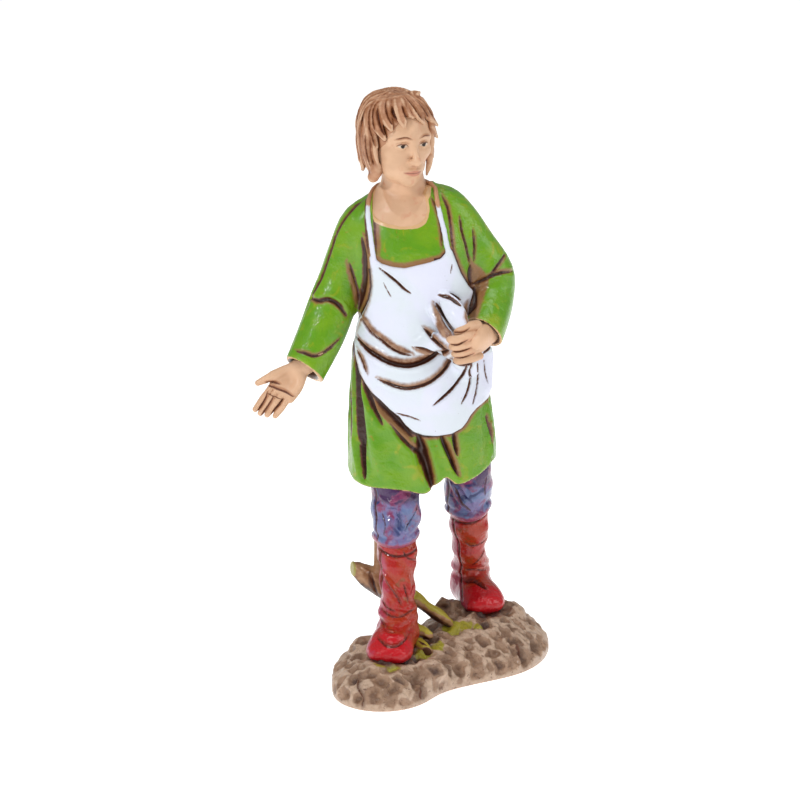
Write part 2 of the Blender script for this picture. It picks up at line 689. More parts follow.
# %% [markdown]
# ## Legs: trousers bagged over boots
#
# Each leg is a soft tube of cloth that hangs over a boot with a crumpled shaft. The two legs differ only
# in where they stand and how the shin leans, so one function makes both trouser legs and another both
# boots. Each piece gets its own strokes: the mould's parting line down the outside, the folds of the
# cloth and the creases of the leather.

# %% Where the legs stand
BOOT_TOP = 22.0
FOOT_SINK = 1.2  # how far the soles stand in the earth
LEG_GRAIN = 0.23
LEGS = {
    "front": {"ankle": (-8.6, -7.4, 0), "turn": -8, "outward": -0.75, "hem": 20.1, "knee": (-9.3, -3.3, 33),
        "hip": (-8.0, 0.5, 52), "rise": (0.10, 0.055)},
    "back": {"ankle": (6.4, 16.4, BACK_RISE), "turn": 14, "outward": 0.45, "hem": 20.9,
        "knee": (5.5, 8.3, 33), "hip": (1.6, 0.0, 52), "rise": (0.12, 0.075)},
}


def on_shin(leg, height):
    ankle, knee = np.array(leg["ankle"]), np.array(leg["knee"])
    return tuple(ankle + (knee - ankle) * (height - ankle[2]) / (knee[2] - ankle[2]))


for side, leg in LEGS.items():
    print(side, "shin at the boot's top:", np.round(on_shin(leg, BOOT_TOP), 1))


# %% A trouser leg
def trousers_form(leg, strokes):
    middle = on_shin(leg, leg["hem"])
    clay = Clay((middle[0] - 9, middle[1] - 9, leg["hem"] - 4), (middle[0] + 9, middle[1] + 8, 40),
        LEG_GRAIN)
    rows = ((-2.0, 4.4), (0.6, 5.0), (2.0, 5.1), (3.2, 4.9), (6.4, 4.85), (9.4, 4.85))
    knee, hip = np.array(leg["knee"]), np.array(leg["hip"])
    stations = [(*on_shin(leg, leg["hem"] + up), wide) for up, wide in rows] + [(*knee, 4.9)]
    limb(clay, stations + [(*(0.7 * knee + 0.3 * hip), 3.7), (*hip, 3.4)], soft=0.1)
    x, y, z = clay.everywhere()

    def cuff_edge(x, y):
        slope, bow = leg["rise"]
        return leg["hem"] + slope * (x - middle[0]) + bow * (x - middle[0]) ** 2 - 0.1 * y + 0.1 * middle[1]

    edge = cuff_edge(x, y)
    clay.carve(z - edge, 1.0)
    inside = np.hypot(x - middle[0], y - middle[1]) - 4.2
    clay.carve(np.maximum(inside, z - edge - 1.0), 0.3)
    form = Form(clay, hollow=0.7)
    x, y, z = form.places.T
    height = z - cuff_edge(x, y)
    form.masks["roll"] = 0.55 - np.abs(height - 0.35)
    form.masks["top"] = z - 29.6
    around = np.arctan2(y - middle[1], x - middle[0])
    form.shift += 0.2 * np.sin(0.75 * z + 2 * around) + 0.12 * np.sin(1.3 * z - 3 * around)
    form.shift -= 0.35 * bell(height - 2.1, 0.55)
    form.stain("wash", 0.1 - height)
    form.strokes("front", strokes)
    return form


# %% A boot
def boot_form(leg, strokes):
    turn = math.radians(leg["turn"])
    toe = np.array((math.sin(turn), -math.cos(turn)))
    ankle = np.array(leg["ankle"])

    def ahead(distance, height, *girth):
        aside = leg["outward"] * smooth(distance, -3, 5)
        return (*(ankle[:2] + distance * toe + (aside, 0)), ankle[2] + height, *girth)

    low = np.minimum(ankle, ahead(12, 0)) - (7, 7, 4)
    high = np.maximum(ankle, ahead(12, 0)) + (7, 7, 25)
    clay = Clay(low, high, LEG_GRAIN)
    shaft = [
        (*on_shin(leg, BOOT_TOP + 0.5), 3.9, 4.2),
        (*on_shin(leg, BOOT_TOP - 2), 3.95, 4.2),
        (*on_shin(leg, 16.5), 3.75, 4.0),
        (*on_shin(leg, ankle[2] + 11), 3.45, 3.8),
        ahead(-0.4, 6, 3.85, 3.9),
        ahead(-0.6, 2.5, 4.2, 4.0),
    ]
    limb(clay, shaft)
    foot = [
        ahead(-2.6, 2.2 - FOOT_SINK, 3.3, 3.0),
        ahead(1.5, 2.9 - FOOT_SINK, 4.1, 3.8),
        ahead(5.5, 2.6 - FOOT_SINK, 4.6, 3.5),
        ahead(8.0, 2.2 - FOOT_SINK, 4.7, 2.7),
        ahead(9.5, 2.1 - FOOT_SINK, 4.2, 2.2),
    ]
    limb(clay, foot, up=(0, 0, 1), soft=1.6)
    knob = np.array(on_shin(leg, BOOT_TOP - 2.6)) + (2.9, -1.9, 0)
    ball(clay, knob, (1.3, 1.5, 1.2), soft=1.2)
    form = Form(clay, hollow=0.7)
    around = np.arctan2(form.places[:, 1] - ankle[1], form.places[:, 0] - ankle[0])
    height = form.places[:, 2] - ankle[2]
    crumple = np.sin(1.15 * height + 2 * around + 0.6 * np.sin(around))
    crumple = crumple * smooth(height, 3, 7) * smooth(height, 21, 17)
    wrinkles = np.sin(2.4 * height + 1.5 * np.cos(around)) * bell(height - 6.5, 3.0)
    form.masks["toe"] = (form.places[:, :2] - ankle[:2]) @ toe - 6.4 - 0.5 * np.clip(height - 2.5, 0, 9)
    form.shift += (0.22 * crumple + 0.16 * wrinkles) * smooth(form.masks["toe"], 0.5, -2.0)
    form.masks["outer"] = -form.facing[:, 0] - 0.1 * form.facing[:, 1]
    form.strokes("front", strokes)
    return form


# %% Cloth and leather paint
def trouser_paint():
    paint = Paint("blue_trouser_paint", tone(0.38, 0.44, 0.61), rough=0.35, coat=0.6, coat_rough=0.06)
    paint.over(paint.noise(3.0, 3.0, 0.8), 0.35, 0.62, 0.46, 0.42, 0.60)
    paint.inside("top", 0.7, 2.4, 0.26, 0.15, 0.32, size=2.0)
    paint.over(paint.ragged(paint.noise(5.5, 4.0, 1.0, 9.0), 0.25, 1.2), 0.47, 0.60, 0.50, 0.22, 0.37)
    paint.over(paint.noise(4.0, 4.0, 1.0, 4.0), 0.57, 0.69, 0.18, 0.21, 0.40)
    paint.inside("roll", 0.3, 1.0, 0.58, 0.26, 0.36, size=1.2)
    paint.over(paint.ragged("hollow", 0.2, 1.0), 0.10, 0.30, 0.20, 0.12, 0.20)
    paint.flood(tone(0.50, 0.26, 0.38), rim=tone(0.30, 0.15, 0.22), core=tone(0.13, 0.06, 0.08))
    return paint.finish(paint.noise(1.3), 0.3)


def boot_paint():
    paint = Paint("red_boot_paint", tone(0.66, 0.12, 0.10), rough=0.35, coat=0.7, coat_rough=0.06,
        shine=0.1)
    paint.over(paint.noise(4.0, 3.0, 0.7), 0.4, 0.6, 0.66, 0.20, 0.09)
    paint.over(paint.noise(2.4, 4.0, 1.0, 5.0), 0.56, 0.7, 0.55, 0.27, 0.14)
    paint.inside("toe", 0.8, 2.0, 0.73, 0.07, 0.11, size=2.0)
    paint.over(paint.ragged("outer", 0.8, 2.0), 0.55, 0.95, 0.66, 0.26, 0.36)
    ridge = paint.ragged("hollow", 0.4, 1.4)
    paint.over(ridge, -0.16, -0.50, 0.78, 0.36, 0.33)
    paint.over(ridge, 0.10, 0.34, 0.34, 0.08, 0.06)
    paint.flood(tone(0.50, 0.15, 0.09), rim=tone(0.42, 0.09, 0.06), core=tone(0.27, 0.07, 0.05))
    return paint.finish(paint.add(paint.noise(2.2, 3.0, 0.4), paint.noise(0.8, 4.0, 0.3), 0.35), 0.45)


# %% Both legs
TROUSER_STROKES = {
    "front": [
        (0.16, 0.25, 0.0, [(-13.4, 34.0), (-13.3, 29.0), (-13.0, 25.9), (-13.2, 21.6)]),
        (0.5, -0.35, 0.0, [(-12.6, 30.9), (-10.2, 30.1), (-7.4, 31.0), (-5.4, 30.2)]),
        (0.06, 0.45, 0.0, [(-5.0, 29.0), (-5.8, 26.6), (-7.2, 24.6)]),
        (0.07, 0.2, 0.0, [(-12.0, 27.6), (-11.2, 25.4), (-11.6, 23.4)]),
        (0.5, -0.4, 0.0, [(-8.6, 28.6), (-7.4, 26.0), (-8.2, 23.8)]),
    ],
    "back": [
        (0.16, 0.25, 0.0, [(1.4, 36.0), (1.4, 29.9), (1.5, 26.0), (1.6, 21.0)]),
        (0.4, -0.5, 0.0, [(1.9, 30.6), (3.3, 27.2), (5.4, 24.6), (7.2, 23.2)]),
        (0.3, -0.45, 0.0, [(3.4, 31.4), (4.9, 28.2), (6.8, 25.8)]),
        (0.14, 0.4, 0.0, [(2.6, 29.4), (4.2, 26.2), (6.2, 24.0)]),
        (0.10, 0.3, 0.0, [(9.2, 31.5), (8.9, 29.0), (9.1, 27.0)]),
    ],
}
BOOT_STROKES = {
    "front": [
        (0.4, -0.5, 0.0, [(-12.2, 16.0), (-10.8, 13.8), (-9.2, 11.8), (-7.9, 9.6)]),
        (0.09, 0.3, 0.35, [(-11.8, 14.6), (-10.4, 12.6), (-9.0, 10.8), (-8.2, 9.0)]),
        (0.3, -0.4, 0.0, [(-7.0, 14.6), (-6.4, 12.4), (-6.3, 10.6)]),
        (0.09, 0.35, 0.2, [(-7.6, 13.0), (-7.0, 11.2), (-6.8, 9.6)]),
        (0.09, 0.35, 0.35, [(-12.2, 9.4), (-11.0, 8.2), (-9.4, 7.8)]),
        (0.09, 0.35, 0.35, [(-8.9, 6.6), (-7.4, 6.8), (-5.8, 7.9)]),
        (0.10, 0.4, 0.4, [(-12.6, 5.8), (-11.2, 4.8), (-9.4, 4.7)]),
        (0.10, 0.35, 0.3, [(-12.9, 3.7), (-10.8, 2.9), (-8.4, 3.0), (-6.2, 4.0)]),
        (0.10, 0.35, 0.3, [(-12.4, 7.7), (-10.4, 6.8), (-8.8, 6.6)]),
        (0.45, -0.35, 0.0, [(-12.6, 4.8), (-10.4, 4.0), (-8.0, 4.2), (-6.0, 5.2)]),
        (0.45, -0.35, 0.0, [(-12.4, 6.8), (-10.2, 6.0), (-7.8, 5.8), (-6.0, 6.8)]),
        (0.10, 0.35, 0.3, [(-7.8, 20.0), (-6.8, 18.4), (-5.4, 17.9), (-4.7, 18.8)]),
        (0.14, 0.2, -0.8, [(-12.2, 20.4), (-12.1, 16.0), (-11.9, 11.0)]),
        (0.24, 0.3, 0.2, [(-13.4, 20.6), (-11.4, 19.4), (-9.0, 18.9), (-6.4, 19.3), (-4.2, 20.6)]),
    ],
    "back": [
        (0.17, 0.25, 0.0, [(2.4, 21.4), (3.3, 17.2), (3.9, 14.0), (4.3, 9.5), (4.5, 4.0)]),
        (0.09, 0.35, 0.2, [(4.9, 16.2), (6.2, 15.3), (8.0, 15.4), (9.6, 16.4)]),
        (0.09, 0.35, 0.2, [(9.4, 13.9), (8.0, 12.2), (6.5, 10.6)]),
        (0.2, 0.4, 0.4, [(5.0, 6.8), (7.2, 7.2), (9.6, 6.2)]),
        (0.09, 0.3, 0.2, [(5.2, 9.2), (7.4, 9.0), (9.6, 8.4)]),
        (0.24, 0.3, 0.2, [(1.6, 21.4), (4.0, 20.7), (6.6, 20.8), (9.0, 22.0), (10.4, 23.4)]),
    ],
}
paints = {"trousers": trouser_paint(), "boot": boot_paint()}
for side, leg in LEGS.items():
    trousers_form(leg, TROUSER_STROKES[side]).finish(f"{side}_trouser_leg", "painted_legs",
        paints["trousers"])
    boot_form(leg, BOOT_STROKES[side]).finish(f"{side}_boot", "painted_legs", paints["boot"])


# %% [markdown]
# ## The tunic
#
# The tunic is one loose coat with sleeves: wide at the hem, drawn in at the waist by the apron, sloping
# at the shoulders. A loft of sections would make the body but leave hard joins at the shoulders. Here
# the sections become a distance, the sleeves melt into it, and the neck, the hem and the cuffs are cut
# afterwards, as a moulder would cut wax. The skirt's folds are drawn on the coat as if it were unrolled.

# %% Body sections
TUNIC = table([
    [31.5, -3.9, 2.7, 15.4, 12.0],
    [37, -3.9, 2.6, 15.0, 11.5],
    [45, -4.15, 2.0, 14.4, 10.5],
    [53, -4.5, 1.4, 13.6, 9.5],
    [59, -4.65, 1.0, 13.1, 8.9],
    [63.5, -4.5, 0.8, 12.2, 8.6],
    [69, -4.8, 0.5, 11.8, 8.6],
    [75, -5.2, 0.2, 11.7, 8.6],
    [81, -5.9, 0.2, 11.9, 8.0],
    [85, -6.4, 0.3, 11.4, 7.0],
    [88.5, -6.9, 0.5, 9.4, 6.0],
    [91, -7.2, 0.6, 6.9, 5.2],
    [93, -7.4, 0.6, 5.2, 4.6],
])  # height, middle x and y, half width, half depth
ROUNDNESS = 2.3
UNROLLED = 12.5 * math.pi / 180  # millimetres of cloth for one degree round the body


def body(x, y, z, grow=0.0):
    """Distance to the body's sections, moved out by grow."""
    middle_x, middle_y, wide, deep = TUNIC(z)
    away = np.sqrt((x - middle_x) ** 2 + (y - middle_y) ** 2 + 1e-6)
    across, forward = np.abs(x - middle_x) / (wide + grow), np.abs(y - middle_y) / (deep + grow)
    share = across**ROUNDNESS + forward**ROUNDNESS
    return away - away / (share + 1e-9) ** (1 / ROUNDNESS)


def round_body(x, y, z):
    """The turn round the body in degrees: 0 in front, and up to 180 to the figure's left."""
    middle_x, middle_y, wide, deep = TUNIC(z)
    across, forward = (x - middle_x) / wide, (middle_y - y) / deep
    bent = [np.sign(v) * np.abs(v) ** (ROUNDNESS / 2) for v in (across, forward)]
    return np.degrees(np.arctan2(*bent))


def unroll(line):
    """A line seen from the front, as x and height, laid on the unrolled cloth."""
    rows = []
    for x, z in line:
        middle_x, _, wide, _ = TUNIC(z)
        across = np.clip((x - middle_x) / wide, -0.995, 0.995)
        turn = math.asin(np.sign(across) * abs(across) ** (ROUNDNESS / 2))
        rows.append((UNROLLED * math.degrees(turn), z))
    return rows


print(f"the tunic's hem is {2 * TUNIC(31.5)[2]:.1f} mm wide")

# %% Neckline, hem and sleeves
HEM = table([
    (-180, 33.6), (-130, 34.2), (-88, 34.8), (-64, 33.3), (-44, 32.6), (-21, 32.6), (-8, 32.4), (0, 31.9),
    (4, 32.4), (7, 33.5), (12, 34.6), (16, 35.1), (20, 34.4), (23, 33.7), (28, 33.6), (40, 34.4),
    (55, 35.5), (66, 36.4), (86, 36.4), (130, 34.4), (180, 33.6),
])
RIGHT_SLEEVE = [
    (-11.0, 0.8, 88.2, 3.6, 4.4),
    (-15.8, 0.6, 85.2, 4.2, 4.6),
    (-18.5, 0.6, 79.4, 4.1, 4.4),
    (-20.2, 0.4, 74, 4.3, 4.3),
    (-21.8, -0.8, 69, 4.75, 4.4),
    (-24.0, -3.6, 63.5, 4.7, 4.1),
    (-27.0, -7.0, 57.6, 4.3, 3.8),
    (-28.0, -8.2, 55.6, 4.2, 3.7),
]
LEFT_SLEEVE = [
    (-4.0, 0.9, 89.6, 3.5, 4.4),
    (0.2, 0.9, 88.8, 3.8, 4.6),
    (3.0, 0.9, 85.8, 4.1, 4.6),
    (6.2, 1.0, 80.6, 4.4, 4.4),
    (9.7, 1.0, 74.9, 4.6, 4.4),
    (10.2, -0.4, 70.6, 4.15, 4.2),
    (9.4, -4.4, 67.4, 4.0, 4.1),
    (8.2, -8.2, 65.0, 4.0, 4.0),
    (7.6, -9.6, 64.1, 4.0, 3.9),
]
CUFFS = [
    ((-27.6, -7.6, 57.4), unit((-0.52, -0.45, -0.72))),
    ((8.3, -8.8, 65.2), unit((-0.52, -0.63, -0.58))),
]
COLLAR = table([
    (-180, 93), (-110, 93), (-80, 92.0), (-58, 89.9), (-38, 87.4), (-15, 86.2), (5, 86.2), (15, 87.2),
    (24, 89.2), (34, 91.6), (60, 93), (180, 93),
])
NECK_MIDDLE, NECK_REACH, SHOULDER_REACH = -7.9, 5.6, 7.0


def above_collar(places):
    """Height above the cut of the neck, which leaves the shoulders whole."""
    shoulder = smooth(np.abs(places[0] - NECK_MIDDLE), NECK_REACH, SHOULDER_REACH)
    return places[2] - COLLAR(round_body(*places))[0] - 12 * shoulder


tunic_clay = clay = Clay((-35, -15.5, 29.5), (17, 16.5, 95), grain=0.335)
x, y, z = clay.everywhere()
clay.field = np.maximum(body(x, y, z).astype(np.float32), z - 94)
limb(clay, RIGHT_SLEEVE, soft=1.6)
limb(clay, LEFT_SLEEVE, soft=1.8)
clay.field = np.maximum(clay.field, above_collar((x, y, z)))
clay.carve(z - HEM(round_body(x, y, z))[0], 0.5)
clay.carve(np.maximum(body(x, y, z, -0.9), z - 37.5), 0.4)  # the hollow under the skirt
for end, way in CUFFS:
    part, spot = clay.around(np.array(end) - 7, np.array(end) + 7)
    spot = [v - e for v, e in zip(spot, end)]
    away = np.sqrt(spot[0] ** 2 + spot[1] ** 2 + spot[2] ** 2)
    clay.work(part, np.maximum(-dot(spot, way), away - 6.2), 0.4, dig=True)
    limb(clay, [(*(end - way), 2.6), (*(end + 2.0 * way), 3.6)], dig=True, soft=0.4)
tunic = Form(clay, hollow=0.9)
print(f"the tunic hangs from {tunic.places[:, 2].max():.1f} to {tunic.places[:, 2].min():.1f} mm")

# %% Folds of the skirt
SKIRT_FRONT = [
    (1.5, 1.6, 0.3, [(-17.0, 67.0), (-17.1, 58.0), (-16.9, 51.9), (-16.5, 44.4), (-15.6, 34.6)]),
    (0.62, 1.0, 0.4, [(-16.6, 57.6), (-15.6, 54.5), (-14.4, 51.0), (-12.9, 47.6), (-12.0, 45.8)]),
    (0.75, 1.1, 0.3, [(-16.8, 42.5), (-16.3, 38.4), (-15.6, 34.2)]),
    (1.0, 0.8, 0.6, [(-17.9, 62.0), (-18.1, 54.0), (-18.1, 48.0), (-17.9, 42.0)]),
    (0.55, 1.0, -1.0, [(-13.4, 51.2), (-10.9, 48.6), (-8.3, 46.1), (-5.9, 43.7)]),
    (0.36, 0.7, 0.9, [(-10.2, 46.2), (-8.0, 43.3), (-5.8, 41.3), (-4.6, 40.0), (-4.2, 38.0)]),
    (0.62, 1.6, 0.5, [(-4.9, 44.4), (-4.1, 41.4), (-3.2, 38.5), (-2.5, 35.9), (-1.7, 32.6)]),
    (0.42, 1.2, 0.6, [(-0.4, 44.6), (0.5, 42.3), (1.8, 39.3), (2.6, 37.2), (3.4, 35.4)]),
    (0.38, 0.9, 0.5, [(2.3, 44.8), (2.6, 42.4), (3.0, 39.6)]),
    (0.9, -0.8, 0.0, [(8.8, 50.5), (9.3, 45.5), (9.6, 40.5), (9.4, 36.5)]),
    (1.2, -0.5, 0.0, [(-13.8, 44.0), (-12.6, 39.5), (-12.0, 35.0)]),
    (1.0, -0.5, 0.0, [(-7.4, 41.0), (-6.0, 37.0), (-5.2, 34.0)]),
]
SKIRT_ROUND = [
    (0.3, 0.9, 0.4, [(64, 47), (66, 42), (68, 37)]),
    (0.55, 1.2, 0.6, [(88, 54), (90, 46), (92, 38)]),
    (0.45, 1.0, 0.5, [(112, 50), (109, 42), (105, 35)]),
    (0.65, 1.3, 0.6, [(130, 57), (128, 47), (126, 38)]),
    (0.4, 1.0, 0.4, [(149, 49), (148, 42), (150, 35)]),
    (0.7, 1.4, 0.7, [(172, 58), (171, 48), (168, 37)]),
    (0.45, 1.0, 0.5, [(-168, 50), (-166, 42), (-164, 35)]),
    (0.6, 1.3, 0.6, [(-146, 57), (-144, 47), (-147, 37)]),
    (0.4, 1.0, 0.4, [(-126, 50), (-125, 43), (-124, 36)]),
    (0.6, 1.2, 0.6, [(-110, 56), (-108, 46), (-104, 36)]),
    (0.4, 0.9, 0.4, [(-88, 52), (-87, 45), (-86, 38)]),
    (0.5, 0.5, 0.5, [(120, 84), (132, 78), (136, 70)]),
    (0.5, 0.5, 0.5, [(-122, 84), (-134, 77), (-138, 69)]),
    (0.4, 0.6, 0.5, [(168, 74), (172, 69), (170, 64)]),
    (1.6, -0.5, 0.0, [(119, 56), (117, 46), (114, 35)]),
    (1.8, -0.6, 0.0, [(160, 56), (159, 46), (160, 35)]),
    (1.8, -0.6, 0.0, [(-156, 56), (-155, 46), (-156, 35)]),
    (1.6, -0.5, 0.0, [(-118, 56), (-117, 46), (-114, 35)]),
]
places = tunic.places
folds = [(*fold, unroll(line)) for *fold, line in SKIRT_FRONT]
folds += [(*fold, [(UNROLLED * a, b) for a, b in line]) for *fold, line in SKIRT_ROUND]
sink, wash, spill = draw(UNROLLED * round_body(*places.T), places[:, 2], folds)
near_body = smooth(body(*places.T), 1.2, 0.4)
middle_x, middle_y, _, _ = TUNIC(places[:, 2])
outward = np.stack([places[:, 0] - middle_x, places[:, 1] - middle_y], 1)
outward /= np.linalg.norm(outward, axis=1)[:, None]
places[:, :2] += (sink * near_body)[:, None] * outward
outer = near_body * smooth((tunic.facing[:, :2] * outward).sum(1), 0.0, 0.3)
tunic.stain("wash", wash, outer)
tunic.stain("spill", spill, outer)
tunic.facing = tunic.normals()
print(len(folds), "folds in the skirt")

# %% Folds of the sleeves and the breast
SLEEVE_FOLDS = [
    (0.42, 0.7, -0.5, [(-26.3, 70.7), (-24.6, 70.5), (-22.8, 70.9), (-21.3, 70.4), (-20.0, 69.3),
        (-18.9, 67.4)]),
    (0.28, 0.5, 0.4, [(-28.9, 61.3), (-27.2, 61.1), (-25.2, 60.5), (-23.5, 60.9), (-21.9, 61.8),
        (-20.2, 63.2)]),
    (0.24, 0.35, -1.0, [(-18.4, 78.3), (-17.7, 76.0), (-17.0, 73.5), (-16.6, 71.2), (-16.7, 69.0)]),
    (0.55, 0.6, 1.5, [(-15.9, 83.4), (-15.5, 80.5), (-15.4, 77.9), (-15.4, 74.8), (-15.8, 72.2),
        (-16.6, 68.0)]),
    (0.2, 0.2, 0.0, [
        (-14.4, 91.0), (-16.4, 89.6), (-19.0, 86.8), (-20.8, 83.6), (-22.2, 79.4), (-23.9, 74.6),
        (-25.7, 71.3), (-27.9, 66.6), (-30.2, 61.0),
    ]),
    (0.2, 0.6, -0.3, [(3.4, 87.4), (3.9, 84.2), (4.6, 81.8), (5.4, 78.0)]),
    (0.2, 0.6, 0.3, [(6.0, 84.6), (6.3, 81.7), (6.2, 78.2)]),
    (0.28, 0.5, 0.4, [(12.6, 79.2), (11.0, 77.3), (9.2, 75.2)]),
    (0.34, 0.7, -0.6, [(14.0, 75.6), (11.9, 75.8), (9.6, 75.2), (7.4, 74.0), (5.6, 73.3)]),
    (0.4, 0.5, 0.0, [(5.5, 77.6), (5.5, 75.2), (5.9, 73.2)]),
    (0.45, 0.4, 0.6, [(6.3, 73.0), (6.4, 70.5), (5.8, 69.0), (4.9, 68.0)]),
    (0.25, 0.2, 0.0, [(-2.2, 93.2), (0.1, 92.9), (2.9, 91.7)]),
]
STRAP_LINES = [
    (0.22, 0, 0.0, [(-14.9, 91.0), (-15.1, 88.0), (-15.0, 85.0), (-14.5, 80.2)]),
    (0.26, 0, 0.9, [(-12.9, 91.4), (-13.3, 88.4), (-13.3, 84.8), (-12.9, 80.2)]),
    (0.26, 0, 0.5, [(-0.2, 91.4), (0.9, 89.2), (1.5, 86.0), (1.9, 82.4), (2.3, 80.6)]),
    (0.18, 0, -0.4, [(-2.2, 91.2), (-1.1, 88.6), (-0.4, 85.6), (-0.1, 81.6)]),
    (0.22, 0, -0.6, [(-12.6, 91.4), (-12.0, 89.2), (-11.0, 87.4), (-9.6, 86.2)]),
]
INNER_ARM = [
    (5.4, 79.4), (6.4, 77.9), (7.8, 76.7), (9.2, 75.2), (9.2, 73.6), (8.4, 71.7), (7.6, 69.8),
    (6.8, 68.0), (5.0, 66.6), (4.6, 68.8), (5.4, 70.4), (5.8, 72.8), (5.2, 76.0),
]
tunic.strokes("front", SLEEVE_FOLDS + STRAP_LINES)
tunic.strokes("back", [
    (0.4, 0.5, 0.4, [(-23.6, 72.0), (-21.4, 70.6), (-19.4, 69.6)]),
    (0.35, 0.5, 0.4, [(-18.6, 79.6), (-16.8, 76.4), (-15.8, 73.0)]),
    (0.4, 0.5, -0.4, [(13.4, 72.0), (10.8, 71.0), (8.4, 71.2)]),
    (0.35, 0.5, 0.4, [(8.4, 80.0), (6.8, 77.0), (6.2, 73.6)]),
    (0.25, 0.15, 0.0, [(-15.0, 91.2), (-19.0, 87.4), (-22.0, 80.5)]),
])
print(len(SLEEVE_FOLDS), "folds in the sleeves")

# %% [markdown]
# ## The apron's outline
#
# The apron is cut like a bib: a curved top between two straps, hollowed under the arms, and gathered up
# below into a bag of seed. Its outline is needed twice, to shape the cloth and to shade the tunic round
# it with brown, so it is kept as a flat shape seen from the front and read as a distance.

# %% Apron outline
APRON_EDGE = [
    (-14.4, 79.9), (-13.2, 79.4), (-11.9, 78.6), (-9.8, 78.1), (-7.4, 77.9), (-5.3, 78.4), (-2.6, 79.0),
    (-0.3, 79.7), (0.5, 80.6), (1.8, 81.2), (2.6, 79.1), (3.6, 76.4), (4.7, 74.4), (5.4, 73.2),
    (6.3, 72.4), (6.1, 71.8), (5.4, 69.8), (5.2, 67.8), (6.4, 65.2), (8.4, 63.0), (9.7, 61.2),
    (10.2, 58.4), (9.9, 54.6), (10.4, 51.8), (9.6, 50.3), (6.9, 48.9), (5.7, 47.7), (5.0, 46.5),
    (4.0, 45.3), (1.9, 44.3), (-1.1, 44.0), (-3.6, 44.2), (-5.6, 44.9), (-7.3, 46.4), (-8.5, 48.1),
    (-10.2, 49.3), (-12.3, 51.2), (-14.0, 52.4), (-15.2, 53.9), (-16.4, 55.8), (-17.2, 59.0),
    (-17.5, 61.7), (-17.2, 64.0), (-16.1, 67.0), (-15.2, 69.1), (-14.4, 71.1), (-13.9, 73.7),
    (-14.1, 76.3),
]


def outside_outline(u, v, outline):
    """Distance in a flat view from a closed outline, below 0 inside it."""
    best = np.full(np.broadcast(u, v).shape, 1e9)
    inside = np.zeros(best.shape, bool)
    for (ax, ay), (bx, by) in zip(outline, outline[1:] + outline[:1]):
        dx, dy = bx - ax, by - ay
        t = np.clip(((u - ax) * dx + (v - ay) * dy) / (dx * dx + dy * dy), 0, 1)
        best = np.minimum(best, (u - ax - t * dx) ** 2 + (v - ay - t * dy) ** 2)
        crosses = (ay > v) != (by > v)
        inside ^= crosses & (u < ax + (v - ay) * dx / (dy if dy else 1e-9))
    return np.where(inside, -1, 1) * np.sqrt(best)


x, y, z = places = tunic.places.T
tunic.stain("spill", np.minimum(-outside_outline(x, z, INNER_ARM), 1.0),
    tunic.facing_view("front", -0.2, 0.2))
edge = outside_outline(x, z, APRON_EDGE)
low_left = smooth(x, 1, -7) * smooth(z, 56, 50)
bib_top = smooth(z, 76.0, 78.5) * smooth(x, -0.5, -3)
dark = np.where(bib_top > 0.5, UNPAINTED, 0.3 + 0.55 * low_left + 0.42 * bib_top)
brown = 0.75 + 0.5 * low_left + 0.25 * bib_top
hidden = 4 * (1 - tunic.facing_view("front", -0.1, 0.2) * smooth(body(*places), 1.0, 0.5))
tunic.stain("wash", np.minimum(dark - edge, 1.0) - hidden)
tunic.stain("spill", np.minimum(brown - edge, 1.0) - hidden)

rims = [0.28 - (z - HEM(round_body(*places))[0]), np.where(z > 84, above_collar(places) + 0.75, UNPAINTED)]
inner_side = [(tunic.facing[:, 2] < -0.5) & (z < 39)]
for end, way in CUFFS:
    from_end = tunic.places - end
    past = from_end @ way
    near_cuff = np.linalg.norm(from_end, axis=1) < 6.5
    rims.append(np.where(near_cuff, past + 0.3, UNPAINTED))
    across = from_end - past[:, None] * way
    inner_side.append(near_cuff & ((across * tunic.facing).sum(1) < -0.15) & (past < 0.1))
tunic.masks["rim"] = np.max(rims, axis=0)
tunic.masks["inside"] = np.where(np.any(inner_side, axis=0), 1.0, UNPAINTED)
tunic.stain("wash", np.where(z > 84, above_collar(places) + 0.12, UNPAINTED))
print(f"the apron's cloth covers {100 * (edge < 0).mean():.0f} percent of the tunic's places")


# %% Green paint
def green_paint():
    paint = Paint("green_gloss_paint", tone(0.36, 0.58, 0.04), rough=0.38, coat=0.6, coat_rough=0.05)
    paint.over(paint.noise(6.0, 3.0, 0.6), 0.38, 0.62, 0.43, 0.61, 0.05)
    paint.over(paint.noise(3.0, 3.0, 0.8, 3.0), 0.55, 0.72, 0.54, 0.61, 0.06)
    paint.over(paint.noise(1.8, 4.0, 0.6, 8.0), 0.66, 0.80, 0.58, 0.50, 0.08)
    ridge = paint.ragged("hollow", 0.25, 1.4)
    paint.over(ridge, -0.12, -0.35, 0.52, 0.66, 0.16)
    paint.over(ridge, 0.20, 0.48, 0.40, 0.27, 0.10)
    paint.flood(tone(0.56, 0.40, 0.24), 0.35)
    paint.inside("rim", 0.08, 0.25, 0.82, 0.66, 0.48)
    paint.inside("inside", 0.3, 0.3, 0.34, 0.22, 0.14)
    return paint.finish(paint.add(paint.noise(1.6, 4.0, 0.4), paint.noise(0.35), 0.3), 0.24)


tunic.finish("green_tunic", "painted_tunic", green_paint())


# %% [markdown]
# ## The white apron
#
# The apron is a thin sheet that lies on the coat's front and swells below into the bag. It is built
# as the same body sections, a little larger, kept only inside the outline. Its grooves all run to the
# fist that gathers it. The straps and the knot of cloth in the hand are limbs of the same clay, so the
# sheet runs into them without a seam.

